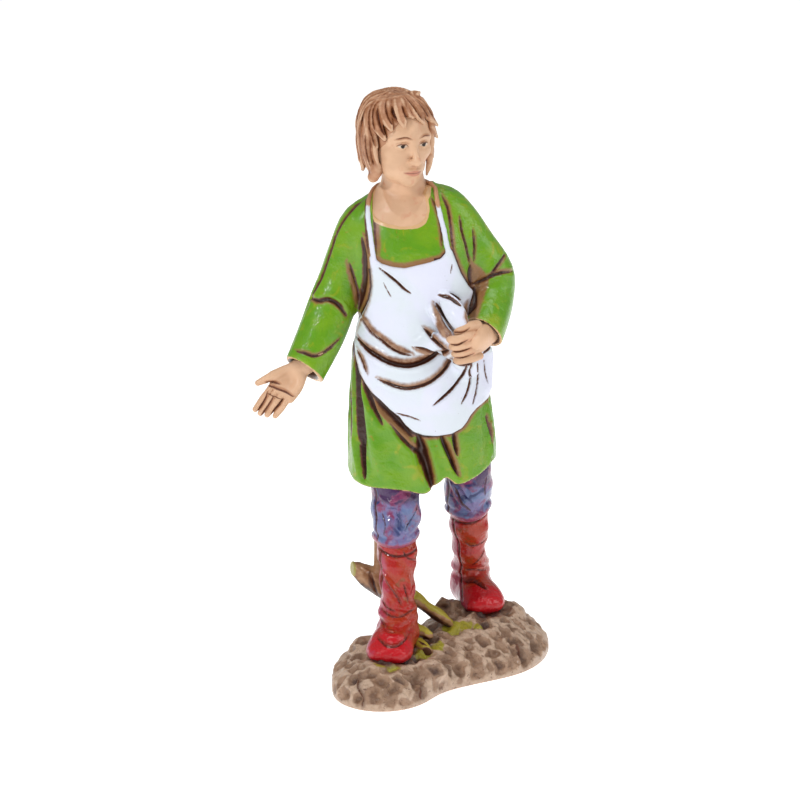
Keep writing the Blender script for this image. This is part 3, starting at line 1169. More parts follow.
# %% Strokes on the apron
THICK = 0.75
BAG = {"x": -3.2, "z": 53.5, "wide": 8.5, "high": 7.5, "bulge": 2.6}
APRON_STROKES = [
    (0.50, 0.9, 1.0, [
        (-17.2, 62.8), (-15.2, 61.2), (-13.1, 60.1), (-10.6, 59.1), (-7.6, 58.7), (-5.1, 59.1),
        (-2.6, 60.1), (-0.3, 61.5), (1.2, 62.5),
    ]),
    (0.22, 0.7, 1.2, [(-16.6, 67.8), (-15.2, 65.7), (-13.9, 64.3), (-12.1, 63.2), (-10.1, 61.8),
        (-8.3, 61.0), (-6.2, 60.6)]),
    (0.32, 0.7, 0.8, [(-12.8, 55.4), (-10.1, 54.6), (-7.6, 54.2), (-5.1, 54.6), (-2.6, 55.5), (-0.9, 56.6),
        (0.9, 58.4), (2.0, 60.8)]),
    (0.30, 0.6, 0.0, [(-1.9, 50.7), (0.7, 52.8), (2.9, 54.9), (4.1, 57.0), (4.9, 59.6)]),
    (0.22, 0.45, 0.0, [(3.8, 50.5), (5.0, 52.8), (5.6, 55.6), (5.3, 57.6), (5.9, 59.8)]),
    (0.14, 0.4, 0.0, [(6.1, 50.0), (6.8, 52.8), (7.1, 55.9), (6.8, 60.4)]),
    (0.34, 0.7, -0.9, [(-5.4, 62.4), (-3.4, 62.0), (-1.9, 61.6), (-0.3, 61.9), (1.1, 62.5)]),
    (0.32, 0.7, 0.8, [(-3.8, 66.0), (-1.9, 64.5), (-0.3, 63.2), (1.1, 62.4)]),
    (0.32, 0.25, -1.3, [(-1.3, 71.0), (-0.3, 69.6), (0.6, 67.8), (2.3, 66.0)]),
    (0.36, 0.4, 0.0, [(-0.9, 72.7), (1.2, 72.6), (2.3, 72.1), (3.6, 71.2)]),
    (0.26, 0.5, 0.0, [(-12.5, 77.9), (-9.5, 75.7), (-7.6, 74.0), (-6.2, 73.0)]),
    (0.09, 0.15, 0.0, [(-11.6, 75.0), (-10.9, 73.6), (-10.1, 72.2)]),
    (0.10, 0.15, 0.0, [(1.9, 78.6), (1.6, 76.8)]),
    (0.14, 0.25, 0.0, [(-9.2, 48.9), (-6.6, 48.4), (-4.2, 47.5)]),
    (0.20, 0.3, 0.7, [(-16.9, 60.5), (-16.0, 58.8), (-15.1, 56.4)]),
    (0.10, 0.3, 0.0, [(8.3, 58.6), (8.6, 55.8), (9.2, 53.6)]),
    (0.50, 0.4, 0.0, [(1.7, 60.0), (3.6, 59.5), (5.3, 59.7), (6.8, 60.6)]),
    (0.50, 0.3, 0.0, [(9.6, 62.2), (9.2, 61.0), (8.2, 60.0)]),
]
BEIGE_STAINS = [
    (0.9, 0, 0, [(-15.2, 80.4), (-14.7, 77.0), (-14.7, 74.0), (-15.2, 71.0), (-16.2, 68.0), (-17.2, 65.0),
        (-17.6, 62.0)]),
    (0.4, 0, 0, [(-17.4, 60.0), (-16.9, 56.8), (-15.6, 54.0), (-13.6, 52.0)]),
    (1.0, 0, 0, [(-0.4, 69.0), (-0.6, 67.2), (0.4, 65.6), (1.6, 65.4)]),
    (0.7, 0, 0, [(1.7, 60.8), (1.0, 59.3), (-0.5, 57.2)]),
    (0.6, 0, 0, [(5.0, 71.0), (4.6, 69.4), (5.0, 67.8)]),
]
print(len(APRON_STROKES), "folds and grooves in the apron")


# %% The sheet
def apron_relief(x, z):
    """The bag, and the hang of the cloth, at places seen from the front."""
    bag = BAG["bulge"] * bell((x - BAG["x"]) / BAG["wide"], 1) * bell((z - BAG["z"]) / BAG["high"], 1)
    hang = 0.35 * bell(z - 65.5 + 0.25 * x, 2.6) + 0.3 * bell(z - 57.0 - 0.02 * (x + 6) ** 2, 1.8)
    return bag + hang


clay = Clay((-20, -18, 41.5), (13, 8.5, 95), grain=0.265)
x, y, z = clay.everywhere()
outer = body(x, y, z, THICK) - apron_relief(x[:, :, 0], z[:1, 0, :])[:, None, :]
outline = outside_outline(x[:, :, 0], z[:1, 0, :], APRON_EDGE)[:, None, :]
hip_bow = 0.8 + 0.075 * np.clip(z - 56.5, -8, 8) ** 2
side_edge = (y - 2.0 + smooth(x, 2, 6) * hip_bow) / 1.3  # at the left hip
sheet = common(common(outer, outline, 0.7), side_edge, 0.7)
clay.field = np.maximum(sheet, -body(x, y, z, -0.4)).astype(np.float32)
GATHERS = (  # how softly each one melts into the sheet, and its stations
    (1.4, [(6.2, -6.4, 63.4, 1.5, 1.0), (8.2, -3.8, 60.2, 1.8, 1.5), (8.3, -3.0, 56.5, 1.9, 1.7),
        (8.2, -3.2, 52.8, 1.8, 1.5)]),
    (0.8, [(0.2, -8.8, 72.4, 1.2, 0.9), (1.5, -10.2, 70.9, 1.9, 1.3), (2.7, -11.6, 69.3, 2.0, 1.5),
        (3.6, -12.6, 67.6, 1.6, 1.3)]),
    (0.6, [(-2.2, -9.0, 70.0, 0.9), (-0.9, -10.4, 68.0, 1.1, 0.9), (0.4, -12.0, 66.4, 1.0, 1.0),
        (1.6, -13.2, 65.4, 0.8)]),
    (1.6, [(-4.0, -8.8, 62.4, 1.3), (-0.6, -10.6, 63.4, 2.0, 1.8), (3.2, -11.2, 61.8, 2.3, 2.1),
        (5.4, -8.6, 57.4, 2.3, 1.6)]),
)
for soft, stations in GATHERS:
    limb(clay, stations, soft=soft)
print("the sheet is gathered in", len(GATHERS), "places")


# %% Straps
def settle(points, out):
    """Points moved on to the tunic's surface, and a little out from it."""
    step = 0.3
    for _ in range(6):
        ahead, behind = (
            [tunic_clay.at(points + way * axis) for axis in np.eye(3)] for way in (step, -step)
        )
        slope = (np.stack(ahead, 1) - np.stack(behind, 1)) / (2 * step)
        points = points - ((tunic_clay.at(points) - out) / (slope**2).sum(1).clip(0.2))[:, None] * slope
    return points


STRAPS = [
    [
        (-13.7, -7.0, 79.4), (-14.1, -6.6, 82.0), (-14.6, -5.8, 85.4), (-14.8, -4.6, 88.0),
        (-14.4, -2.2, 90.2), (-13.3, 0.8, 91.6), (-11.2, 3.6, 91.8), (-8.6, 5.6, 91.0), (-7.0, 5.9, 90.8),
    ],
    [
        (1.3, -7.0, 80.6), (0.9, -6.9, 82.6), (0.5, -6.4, 85.2), (-0.3, -5.4, 88.0), (-1.2, -3.4, 90.2),
        (-2.2, -0.4, 91.6), (-3.6, 2.8, 91.8), (-6.2, 5.2, 91.1), (-7.4, 5.9, 90.8),
    ],
]
STRAP_WIDE, STRAP_DEEP = 0.66, 0.42
for run in STRAPS:
    line = settle(smooth_line(run, 4), 0.1)
    slim = np.linspace(STRAP_WIDE, 0.65 * STRAP_WIDE, len(line))
    outward = line - (-7.0, 0.5, line[:, 2].mean() - 2)
    for n in range(0, len(line) - 4, 4):
        rows = [(*p, w, STRAP_DEEP) for p, w in zip(line[n : n + 5], slim[n : n + 5])]
        limb(clay, rows, up=outward[n + 2], soft=0.25, steps=1)
apron = Form(clay)
apron.strokes("front", APRON_STROKES)
_, stain, _ = draw(apron.places[:, 0], apron.places[:, 2], BEIGE_STAINS)
apron.stain("spill", stain, apron.facing_view("front", -0.1, 0.2))
apron.masks["bare"] = apron.places[:, 2] - 89.4
print(f"the bag stands out to y = {apron.places[:, 1].min():.1f} mm")


# %% White paint
def white_paint():
    paint = Paint("white_gloss_paint", tone(0.86, 0.87, 0.935), rough=0.42, coat=0.45, coat_rough=0.12,
        shine=0.1)
    paint.over(paint.noise(7.0, 2.0, 0.4), 0.35, 0.65, 0.84, 0.87, 0.90)
    paint.over(paint.noise(0.55, 2.0, 0.0, 2.0), 0.75, 0.80, 0.62, 0.60, 0.62)
    paint.over(paint.mask("hollow"), 0.30, 0.60, 0.72, 0.62, 0.56)
    share = paint.ramp(paint.noise(1.5, 4.0, 0.4), 0.40, 0.62)
    paint.flood(paint.mix(share, tone(0.64, 0.50, 0.40), tone(0.50, 0.35, 0.26)), 0.4)
    paint.inside("bare", 0.3, 1.0, 0.74, 0.55, 0.41)
    return paint.finish(paint.add(paint.noise(1.8), paint.noise(0.5, 3.0), 0.2), 0.14)


apron.finish("white_apron", "painted_tunic", white_paint())


# %% [markdown]
# ## Hands
#
# Flesh is one satin paint with brown in its hollows. The open right hand shows its palm, and the left
# closes round the gathered cloth. Each finger is a limb with a swelling at each joint, melted only a
# little into its neighbour, so that a groove stays between them for the wash to sit in.

# %% The open hand
class SkinForm(Form):
    """Flesh has a few masks more, and they are empty where a piece doesn't use them."""

    def finish(self, name, slot, paint):
        for mask in ("lip", "pupil", "white"):
            self.masks.setdefault(mask, np.full(len(self.places), UNPAINTED))
        super().finish(name, slot, paint)


WRIST = np.array((-28.0, -7.6, 57.4))
along = unit((-0.66, -0.3, -0.68))
palm = np.array((0.1, -0.85, 0.5))
palm = unit(palm - (palm @ along) * along)
across = np.cross(along, palm)


def in_hand(a, f, p, *girth):
    """A point of the open hand: across it towards the thumb, along it and out of the palm."""
    return (*(WRIST + a * across + f * along + p * palm), *girth)


FINGERS = [(2.0, 6.9), (0.72, 6.8), (-0.58, 6.1), (-2.0, 5.1)]  # place across the hand, length
LEAN = -0.13  # how far the fingers lean away from the thumb along their length
HAND_GRAIN, HAND_HOLLOW = 0.13, 0.35
HAND_MASSES = (  # softness and stations: wrist and palm, ball of the thumb, heel of the hand, thumb
    (0.3, [(0, -4.2, 0.2, 3.0, 2.4), (0, -2.0, 0.1, 2.4, 1.9), (0.1, 0.2, 0, 2.0, 1.6),
        (0, 2.6, -0.1, 2.6, 1.4), (0, 6.0, -0.1, 2.75, 1.05)]),
    (0.9, [(0.9, 0.4, 0.5, 1.1), (1.8, 2.6, 0.6, 1.25), (2.9, 4.6, 0.8, 1.0)]),
    (0.9, [(-1.1, 1.4, 0.2, 0.9), (-1.9, 3.4, 0.2, 1.15), (-2.3, 5.8, 0.1, 1.0)]),
    (0.5, [(1.9, 2.6, 0.5, 1.1), (3.0, 4.8, 0.9, 0.95), (3.7, 6.4, 1.0, 0.8), (4.3, 7.8, 0.9, 0.6)]),
)
clay = Clay((-42, -17, 41.5), (-22, -1, 64), HAND_GRAIN)
for soft, stations in HAND_MASSES:
    limb(clay, [in_hand(*station) for station in stations], up=palm, soft=soft)
for row, length in FINGERS:
    bend = 0.15 * length
    joints = [
        (0.0, -0.1, 0.74, 0.9), (0.36, 0.1 * bend, 0.70, 0.78), (0.5, 0.3 * bend, 0.76, 0.82),
        (0.72, 0.55 * bend, 0.69, 0.72), (0.94, bend, 0.56, 0.55),
    ]
    finger = [in_hand(row + LEAN * s * length, 5.6 + s * length, p, *girth) for s, p, *girth in joints]
    limb(clay, finger, up=palm, soft=0.1)
ball(clay, in_hand(0.1, 3.4, 2.0), (1.4, 1.5, 1.5), dig=True, soft=1.2)
hand = SkinForm(clay, HAND_HOLLOW)
PALM_LINES = [
    (0.20, 0.22, 0.4, [(-34.7, 54.7), (-32.7, 54.0), (-30.9, 53.4), (-29.3, 52.5)]),
    (0.20, 0.15, 0.4, [(-34.9, 55.3), (-33.4, 55.2), (-32.0, 54.8)]),
    (0.10, 0.0, 0.0, [(-34.7, 53.2), (-33.1, 52.5), (-31.4, 51.9)]),
    (0.18, 0.12, 0.3, [(-34.5, 53.5), (-34.9, 52.2), (-35.9, 50.7), (-36.6, 49.9)]),
    (0.18, 0.12, 0.3, [(-33.2, 52.8), (-33.8, 51.7), (-34.9, 50.2), (-35.8, 49.1)]),
    (0.18, 0.12, 0.3, [(-31.4, 52.1), (-32.0, 51.3), (-32.9, 50.4), (-33.8, 49.3)]),
]
hand.strokes("front", PALM_LINES)
print(f"the open hand is {np.ptp(hand.places @ along):.1f} mm long")

# %% The fist
FIST_BACK = [
    (9.4, -7.2, 65.2, 2.5, 2.4), (8.4, -9.0, 64.8, 2.6, 2.3), (7.2, -11.2, 64.2, 3.3, 2.1),
    (5.8, -13.0, 63.6, 3.3, 1.6),
]
FIST_THUMB = [
    (6.6, -11.6, 67.0, 1.3), (5.2, -12.8, 67.2, 1.05), (3.8, -13.4, 66.8, 0.95), (2.8, -13.4, 66.3, 0.7),
]
FIST_FINGER = [
    (6.0, -13.2, 0.35, 0.86), (4.7, -14.5, 0.25, 0.92), (3.4, -14.9, 0, 0.84), (1.9, -14.6, -0.3, 0.86),
    (1.3, -13.0, -0.5, 0.68),
]
FIST_ROWS = (65.3, 63.85, 62.4, 61.0)
clay = Clay((-3, -17.5, 57.5), (14, -4, 71), HAND_GRAIN)
limb(clay, FIST_BACK, up=(-0.8, -0.6, 0))
for n, row in enumerate(FIST_ROWS):
    limb(clay, [(a + 0.42 * n, b + 0.15 * n, c + row, r * (1 - 0.03 * n)) for a, b, c, r in FIST_FINGER],
        soft=0.14)
limb(clay, FIST_THUMB, soft=0.2)
fist = SkinForm(clay, HAND_HOLLOW)
GAP_LINES = [
    (0.13, 0.15, 0.25, [(1.0, 64.2), (2.8, 64.2), (3.9, 64.7), (4.9, 65.2)]),
    (0.13, 0.15, 0.25, [(1.3, 62.7), (3.2, 62.8), (5.5, 63.5)]),
    (0.13, 0.15, 0.25, [(1.9, 61.4), (3.9, 61.6), (6.1, 62.3)]),
    (0.14, 0.1, 0.3, [(0.8, 65.4), (2.2, 66.3), (4.0, 66.5), (5.2, 67.2)]),
]
fist.strokes("front", GAP_LINES)
print(f"the fist is {np.ptp(fist.places[:, 2]):.1f} mm high")


# %% Flesh paint
def skin_paint():
    paint = Paint("flesh_satin_paint", tone(0.85, 0.69, 0.56), rough=0.45, coat=0.12, coat_rough=0.25,
        shine=0.35)
    paint.over(paint.noise(4.0, 3.0, 0.4), 0.35, 0.65, 0.81, 0.65, 0.52)
    paint.over(paint.noise(2.0, 4.0, 0.5, 6.0), 0.58, 0.75, 0.81, 0.60, 0.48)
    hollow = paint.ragged("hollow", 0.12, 0.8)
    paint.over(hollow, 0.06, 0.34, 0.66, 0.45, 0.32)
    paint.over(hollow, 0.34, 0.62, 0.42, 0.23, 0.13)
    paint.inside("lip", 0.16, 0.2, 0.77, 0.52, 0.43)
    paint.inside("spill", 0.2, 0.2, 0.68, 0.48, 0.35)
    paint.inside("white", 0.06, 0.05, 0.82, 0.74, 0.66)
    paint.inside("pupil", 0.06, 0.04, 0.16, 0.09, 0.06)
    paint.inside("wash", 0.09, 0.1, 0.40, 0.22, 0.13)
    return paint.finish(paint.add(paint.noise(1.2), paint.noise(0.4, 3.0), 0.25), 0.06)


flesh = skin_paint()
hand.finish("open_hand", "painted_skin", flesh)
fist.finish("closed_hand", "painted_skin", flesh)


# %% [markdown]
# ## Head and neck
#
# The face is a calm one of no person, laid out by the rules that drawing books give: the eyes half way
# down the head, five eye widths across it, the foot of the nose half way from the brow to the chin and
# the mouth a third of the way below that. It is modelled looking straight ahead, and turned into
# place when it is done, because a face is easier to keep even while its two sides match.

# %% Proportions
HEAD_CENTRE = np.array((-8.7, -2.0, 103.4))
HEAD_TURN = 30
HEAD_NOD = 6
CROWN = 8.0
CHIN = -9.3
HALF_WIDE = 5.9
EYE_LINE = (CROWN + CHIN) / 2
EYE_WIDE = 2 * HALF_WIDE / 5
BROW = EYE_LINE + 0.55 * EYE_WIDE
NOSE_FOOT = (BROW + CHIN) / 2
MOUTH = mix(NOSE_FOOT, CHIN, 1 / 3)


def turning(angle, a, b):
    """The matrix that turns axis a towards axis b by an angle in degrees."""
    matrix = np.eye(3)
    matrix[a, a] = matrix[b, b] = math.cos(math.radians(angle))
    matrix[b, a] = math.sin(math.radians(angle))
    matrix[a, b] = -matrix[b, a]
    return matrix


HEAD_POSE = turning(HEAD_TURN, 0, 1) @ turning(HEAD_NOD, 1, 2)


def pose_head(form):
    """Turns a form that was modelled looking straight ahead into the head's place on the figure."""
    form.places = form.places @ HEAD_POSE.T + HEAD_CENTRE
    form.facing = form.facing @ HEAD_POSE.T


def both(points):
    """A half line from the middle outwards, with its mirror image before it."""
    return [(-p[0], *p[1:]) for p in points[::-1] if p[0]] + list(points)


print(f"eyes at {EYE_LINE:.2f}, nose foot at {NOSE_FOOT:.2f}, mouth at {MOUTH:.2f}")

# %% Skull, jaw and neck
clay = Clay((-8.5, -11, -21.5), (8.5, 9.0, 9.5), grain=0.175)
ball(clay, (0, 0.8, 1.6), (HALF_WIDE, 7.0, 6.4))
ball(clay, (0, -1.2, -2.4), (5.1, 5.2, 6.4), soft=2.0)
ball(clay, (0, -2.2, -6.0), (4.4, 3.7, 2.9), soft=1.5)
ball(clay, (0, -5.1, CHIN + 1.25), (1.6, 1.35, 1.25), soft=1.3)
NECK = [(-7.3, -0.5, 87.5, 5.0, 4.6), (-7.6, 0.3, 92, 4.3, 3.9), (-8.3, -0.4, 99, 4.1, 3.7)]
neck = [(*(HEAD_POSE.T @ (np.array(row[:3]) - HEAD_CENTRE)), *row[3:]) for row in NECK]
limb(clay, neck, soft=0.6)
spots = np.stack(np.broadcast_arrays(*clay.everywhere()), -1) @ HEAD_POSE.T + HEAD_CENTRE
x, y, z = np.moveaxis(spots, -1, 0)
slope = 87.0 + 0.75 * (y + 6) + 0.14 * (x + 7.6) ** 2  # the chest rises to the neck and to the shoulders
breast = np.maximum(body(x, y, z, -0.25), (z - np.minimum(slope, 92.2)) / 1.2)
breast = np.maximum(breast, 83.0 - z).astype(np.float32)
clay.field = melt(clay.field, breast, 2.6)
for side in (-1, 1):
    ball(clay, (side * 3.0, -4.0, EYE_LINE - 1.7), (1.9, 1.5, 1.5), soft=1.5)
brows = [(0, -6.15, BROW - 0.1, 0.75), (2.0, -5.85, BROW + 0.1, 0.75), (3.9, -4.5, BROW - 0.2, 0.7)]
limb(clay, both(brows), soft=1.2)
print(f"the skull is {CROWN - CHIN:.1f} mm high and {2 * HALF_WIDE:.1f} mm wide")

# %% Eyes, nose and mouth
for side in (-1, 1):
    eye = side * EYE_WIDE
    inner, outer = side * 0.52 * EYE_WIDE, side * 1.5 * EYE_WIDE  # corners
    ball(clay, (eye, -7.1, EYE_LINE), (1.5, 1.3, 0.9), dig=True, soft=1.0)
    ball(clay, (eye, -4.6, EYE_LINE - 0.05), (1.35, 1.4, 1.35), soft=0.15)
    for corner, middle, end, soft, dig in (  # y, height above the eye line and thickness
        ((-5.7, -0.1, 0.16), (-6.22, 0.42, 0.24), (-5.3, -0.1, 0.16), 0.2, False),  # upper lid
        ((-5.7, -0.2, 0.14), (-6.02, -0.55, 0.18), (-5.3, -0.2, 0.14), 0.25, False),  # lower lid
        ((-6.2, 0.45, 0.1), (-6.6, 0.85, 0.12), (-5.6, 0.3, 0.1), 0.35, True),  # fold over the lid
    ):
        stations = zip((inner, eye, outer), (corner, middle, end))
        lid = [(x, y, EYE_LINE + up, thick) for x, (y, up, thick) in stations]
        limb(clay, lid, soft=soft, dig=dig)
    ball(clay, (side * 0.82, -6.85, NOSE_FOOT + 0.5), (0.58, 0.75, 0.5), soft=0.45)
NOSE = [
    (BROW - 0.5, -6.0, 0.5), (EYE_LINE - 0.9, -6.7, 0.55), (NOSE_FOOT + 1.3, -7.6, 0.68),
    (NOSE_FOOT + 0.7, -7.85, 0.74),
]
limb(clay, [(0, y, z, thick) for z, y, thick in NOSE], soft=0.9)
for side in (-1, 1):
    ball(clay, (side * 0.4, -7.4, NOSE_FOOT - 0.1), (0.18, 0.3, 0.2), dig=True, soft=0.12)
ball(clay, (0, -5.0, MOUTH), (2.4, 1.75, 1.8), soft=1.3)
for lip, soft, dig in (  # x, y, height above the mouth line and thickness
    ([(0, -6.82, 0.30, 0.36), (0.8, -6.72, 0.33, 0.38), (1.95, -5.85, 0.02, 0.2)], 0.35, False),
    ([(0, -6.8, -0.48, 0.46), (0.8, -6.65, -0.42, 0.42), (1.8, -5.9, -0.12, 0.2)], 0.35, False),
    ([(0, -7.3, 0, 0.1), (0.9, -7.1, -0.03, 0.1), (2.1, -6.2, 0, 0.08)], 0.25, True),
):
    limb(clay, both([(x, y, MOUTH + up, thick) for x, y, up, thick in lip]), soft=soft, dig=dig)
ball(clay, (0, -7.2, MOUTH - 1.35), (1.4, 0.6, 0.4), dig=True, soft=0.7)
limb(clay, [(0, -7.5, NOSE_FOOT - 0.3, 0.12), (0, -7.35, MOUTH + 0.8, 0.16)], dig=True, soft=0.35)
head = SkinForm(clay, hollow=0.45)
print(len(head.quads), "quads in head and neck")

# %% Painted eyes, brows and lips
PUPIL = 0.46
LID_OPENING = 0.40
x, _, z = head.places.T
beyond = np.where(head.facing_view("front", 0.1, 0.4) > 0.2, 0, UNPAINTED)
from_eye = np.abs(x) - EYE_WIDE
head.masks["pupil"] = PUPIL - np.hypot(from_eye, z - EYE_LINE) + beyond
opening = LID_OPENING * np.clip(1 - (from_eye / (0.46 * EYE_WIDE)) ** 2, 0, 1)
head.masks["white"] = np.where(opening > 0, opening - np.abs(z - EYE_LINE + 0.05), UNPAINTED) + beyond
head.masks["lip"] = 0.55 - np.abs(z - MOUTH + 0.08) - 0.14 * x**2 + beyond
# In eye widths, and above the eye line.
LASHES = [(0.5, -0.12), (0.75, 0.3), (1, 0.42), (1.25, 0.32), (1.52, -0.1)]
FACE_LINES = [
    (0.10, 0, 0, [(across * EYE_WIDE, EYE_LINE + up) for across, up in LASHES]),
    (0.11, 0, 0.3, [(0.9, BROW + 0.2), (2.2, BROW + 0.55), (3.9, BROW + 0.1)]),
]
mirrored = [(*stroke, [(-a, b) for a, b in line]) for *stroke, line in FACE_LINES]
mouth_line = (0.06, 0, 0, both([(0, MOUTH - 0.02), (0.9, MOUTH - 0.05), (1.95, MOUTH)]))
head.strokes("front", [*FACE_LINES, *mirrored, mouth_line])
pose_head(head)
head.finish("head_and_neck", "painted_skin", flesh)

# %% [markdown]
# ## Hair
#
# The hair is combed forward from the crown in thick locks, with a fringe swept to the figure's left and
# ends that flick out over the neck. Strand systems would be lost when the figure is exported, and real
# moulded hair isn't strands anyway: it is a cap with grooved locks. So each lock is a bundle of three
# round strands, laid on a cap of clay and drawn together at the tip.

# %% A lock of hair
HAIR = {"wide": 6.15, "deep": 7.1, "high": 8.1, "aside": -0.4, "behind": 1.0}


def in_hair(angle, up, lift):
    """A point in the hair: the turn from the face to the figure's left, a height, and a distance out."""
    level = max(1 - (max(up, 0) / (HAIR["high"] + 0.6 * lift)) ** 2.6, 0.0) ** 0.385
    girth = level * (1 - 0.0034 * min(up, 0) ** 2)
    turn = math.radians(angle)
    across = (HAIR["wide"] + lift) * girth * math.sin(turn) + HAIR["aside"]
    return np.array((across, HAIR["behind"] - (HAIR["deep"] + lift) * girth * math.cos(turn), up))


def lock(clay, run, half, strands=3):
    """A bundle of strands along a run of (angle, height, lift), drawn together at its tip."""
    line = smooth_line([in_hair(*row) for row in run], 4)
    t = np.linspace(0, 1, len(line))
    girth = half * (0.8 + 0.5 * t - 1.08 * t**3).clip(0.16)
    way = np.gradient(line, axis=0)
    side = np.cross(way, line)
    side /= np.linalg.norm(side, axis=1)[:, None] + 1e-9
    for n in range(strands):
        place = (n - (strands - 1) / 2) / max(strands / 2, 1)
        path = line + side * (girth * place * 0.95)[:, None]
        rows = [(*p, g) for p, g in zip(path, (girth * (0.56 - 0.07 * (n % 2))).clip(0.2))]
        limb(clay, rows, soft=0.2, steps=1)


print("the crown of the hair lies at", in_hair(0, HAIR["high"], 0.0).round(1))

# %% The cap
clay = Clay((-10.5, -10.5, -11.0), (10.5, 11, 11), grain=0.16)
ball(clay, (-0.4, 1.0, 1.0), (6.2, 7.2, 7.0))
ball(clay, (-0.4, 1.0, 4.2), (5.7, 6.6, 4.0), soft=1.5)
ball(clay, (-0.4, 2.4, -2.8), (5.6, 5.6, 5.2), soft=1.5)
ball(clay, (0.2, -9.0, -2.6), (6.2, 7.6, 9.0), dig=True, soft=0.8)
print(f"the cap's clay reaches down to {clay.low[2]:.1f} mm from the head's middle")

# %% Rings of locks
rng = np.random.default_rng(5)
LOCKS = []
for angle in range(66, 285, 17):  # the lowest ring, round the nape
    jitter = rng.uniform(-4, 4, 3)
    tip = -7.3 + rng.uniform(-1.0, 0.8)
    LOCKS.append(([
        (angle + jitter[0], 3.5, 0.1), (angle + jitter[1], -1.5, 0.4), (angle + 4 + jitter[2], -5.2, 0.3),
        (angle + 9 + jitter[1], tip, 0.6 + rng.uniform(0, 0.6)),
    ], 1.2))
for angle in range(80, 272, 19):  # the crown's ring, over it
    jitter = rng.uniform(-4, 4, 3)
    LOCKS.append(([
        (angle + 8 + jitter[0], 8.0, 0.1), (angle + 4 + jitter[1], 6.1, 0.3), (angle + jitter[2], 1.5, 0.5),
        (angle + 5 + jitter[0], -2.8 + rng.uniform(-1.2, 1.2), 0.5),
    ], 1.4))
print(len(LOCKS), "locks round the back")

# %% Fringe and whorl
LOCKS += [  # the fringe, from the figure's right temple to its left one
    ([(-88, 7.07, 0.3), (-83, 5.16, 0.7), (-75, 2.0, 0.7), (-62, -1.4, 0.4)], 1.3),
    ([(-73, 7.55, 0.3), (-68, 5.96, 0.8), (-62, 3.2, 0.8), (-48, 0.4, 0.5)], 1.25),
    ([(-60, 7.71, 0.3), (-56, 6.59, 0.8), (-50, 5.0, 0.8), (-38, 2.4, 0.5)], 1.2),
    ([(-45, 7.79, 0.3), (-41, 6.99, 0.7), (-37, 5.96, 0.7), (-29, 4.6, 0.5)], 1.05),
    ([(-29, 7.87, 0.3), (-26, 7.07, 0.8), (-23, 5.48, 0.8), (-17, 3.2, 0.5)], 1.2),
    ([(-13, 7.95, 0.3), (-10, 7.15, 0.7), (-7, 6.12, 0.7), (1, 4.9, 0.5)], 1.1),
    ([(3, 7.95, 0.3), (8, 6.99, 0.8), (14, 5.56, 0.8), (26, 3.4, 0.5)], 1.3),
    ([(20, 7.87, 0.3), (25, 6.83, 0.8), (32, 5.64, 0.8), (43, 3.8, 0.7)], 1.2),
    ([(36, 7.71, 0.3), (40, 6.44, 0.7), (47, 4.4, 0.8), (61, 2.1, 2.1)], 1.3),
    ([(56, 6.75, 0.4), (56, 4.4, 0.8), (59, 1.8, 1.0), (68, -0.6, 2.3)], 1.35),
    ([(60, 2.6, 0.6), (60, -0.4, 0.9), (62, -2.8, 1.2), (70, -4.8, 2.4)], 1.35),
    ([(64, -1, 0.7), (65, -4, 1.3), (67, -6.2, 2.0), (72, -8.4, 3.0)], 1.25),
    ([(-72, 3.6, 0.2), (-71, 0.4, 0.4), (-68, -2.8, 0.4), (-62, -5.4, 0.1)], 1.0),
    ([(-84, 5.0, 0.5), (-83, 0.6, 0.8), (-80, -3.8, 0.8), (-73, -7.4, 0.6)], 1.25),
]
for angle in range(-160, 200, 40):  # the whorl that closes the crown
    LOCKS.append(([
        (angle - 70, 8.09, 0.05), (angle - 35, 8.0, 0.1), (angle, 7.8, 0.15), (angle + 15, 7.5, 0.1),
    ], 0.95))
print(len(LOCKS), "locks in all")

# %% Hair in one piece
for run, half in LOCKS:
    lock(clay, run, half)
RIDGE = [
    (50, 7.71, 0.5), (0, 7.99, 0.5), (-54, 7.63, 0.7), (-84, 6.75, 0.8), (-93, 5.48, 0.9), (-96, 3.6, 0.9),
    (-102, 1.0, 0.8), (-104, -2, 0.7),
]
limb(clay, [(*in_hair(*row), 0.42) for row in RIDGE])
lock(clay, [(36, 7.6, 0.6), (46, 8.2, 1.1), (54, 8.6, 2.1)], 1.0)  # a tuft
for place, radii, soft in (
    (in_hair(-74, -8.0, 0.7), (1.15, 1.1, 1.1), 0.4),
    (in_hair(-66, -6.4, 0.2), (1.2, 1.2, 1.7), 0.6),
    (in_hair(52, 6.6, -0.7), (2.0, 2.0, 1.3), 0.8),
    ((-6.3, 0.6, -2.0), (0.45, 0.5, 0.7), 0.1),  # fills a bubble between cap and lock
):
    ball(clay, place, radii, soft)
hair = Form(clay, hollow=0.32)
print(f"the hair is {np.ptp(hair.places[:, 2]):.1f} mm high")

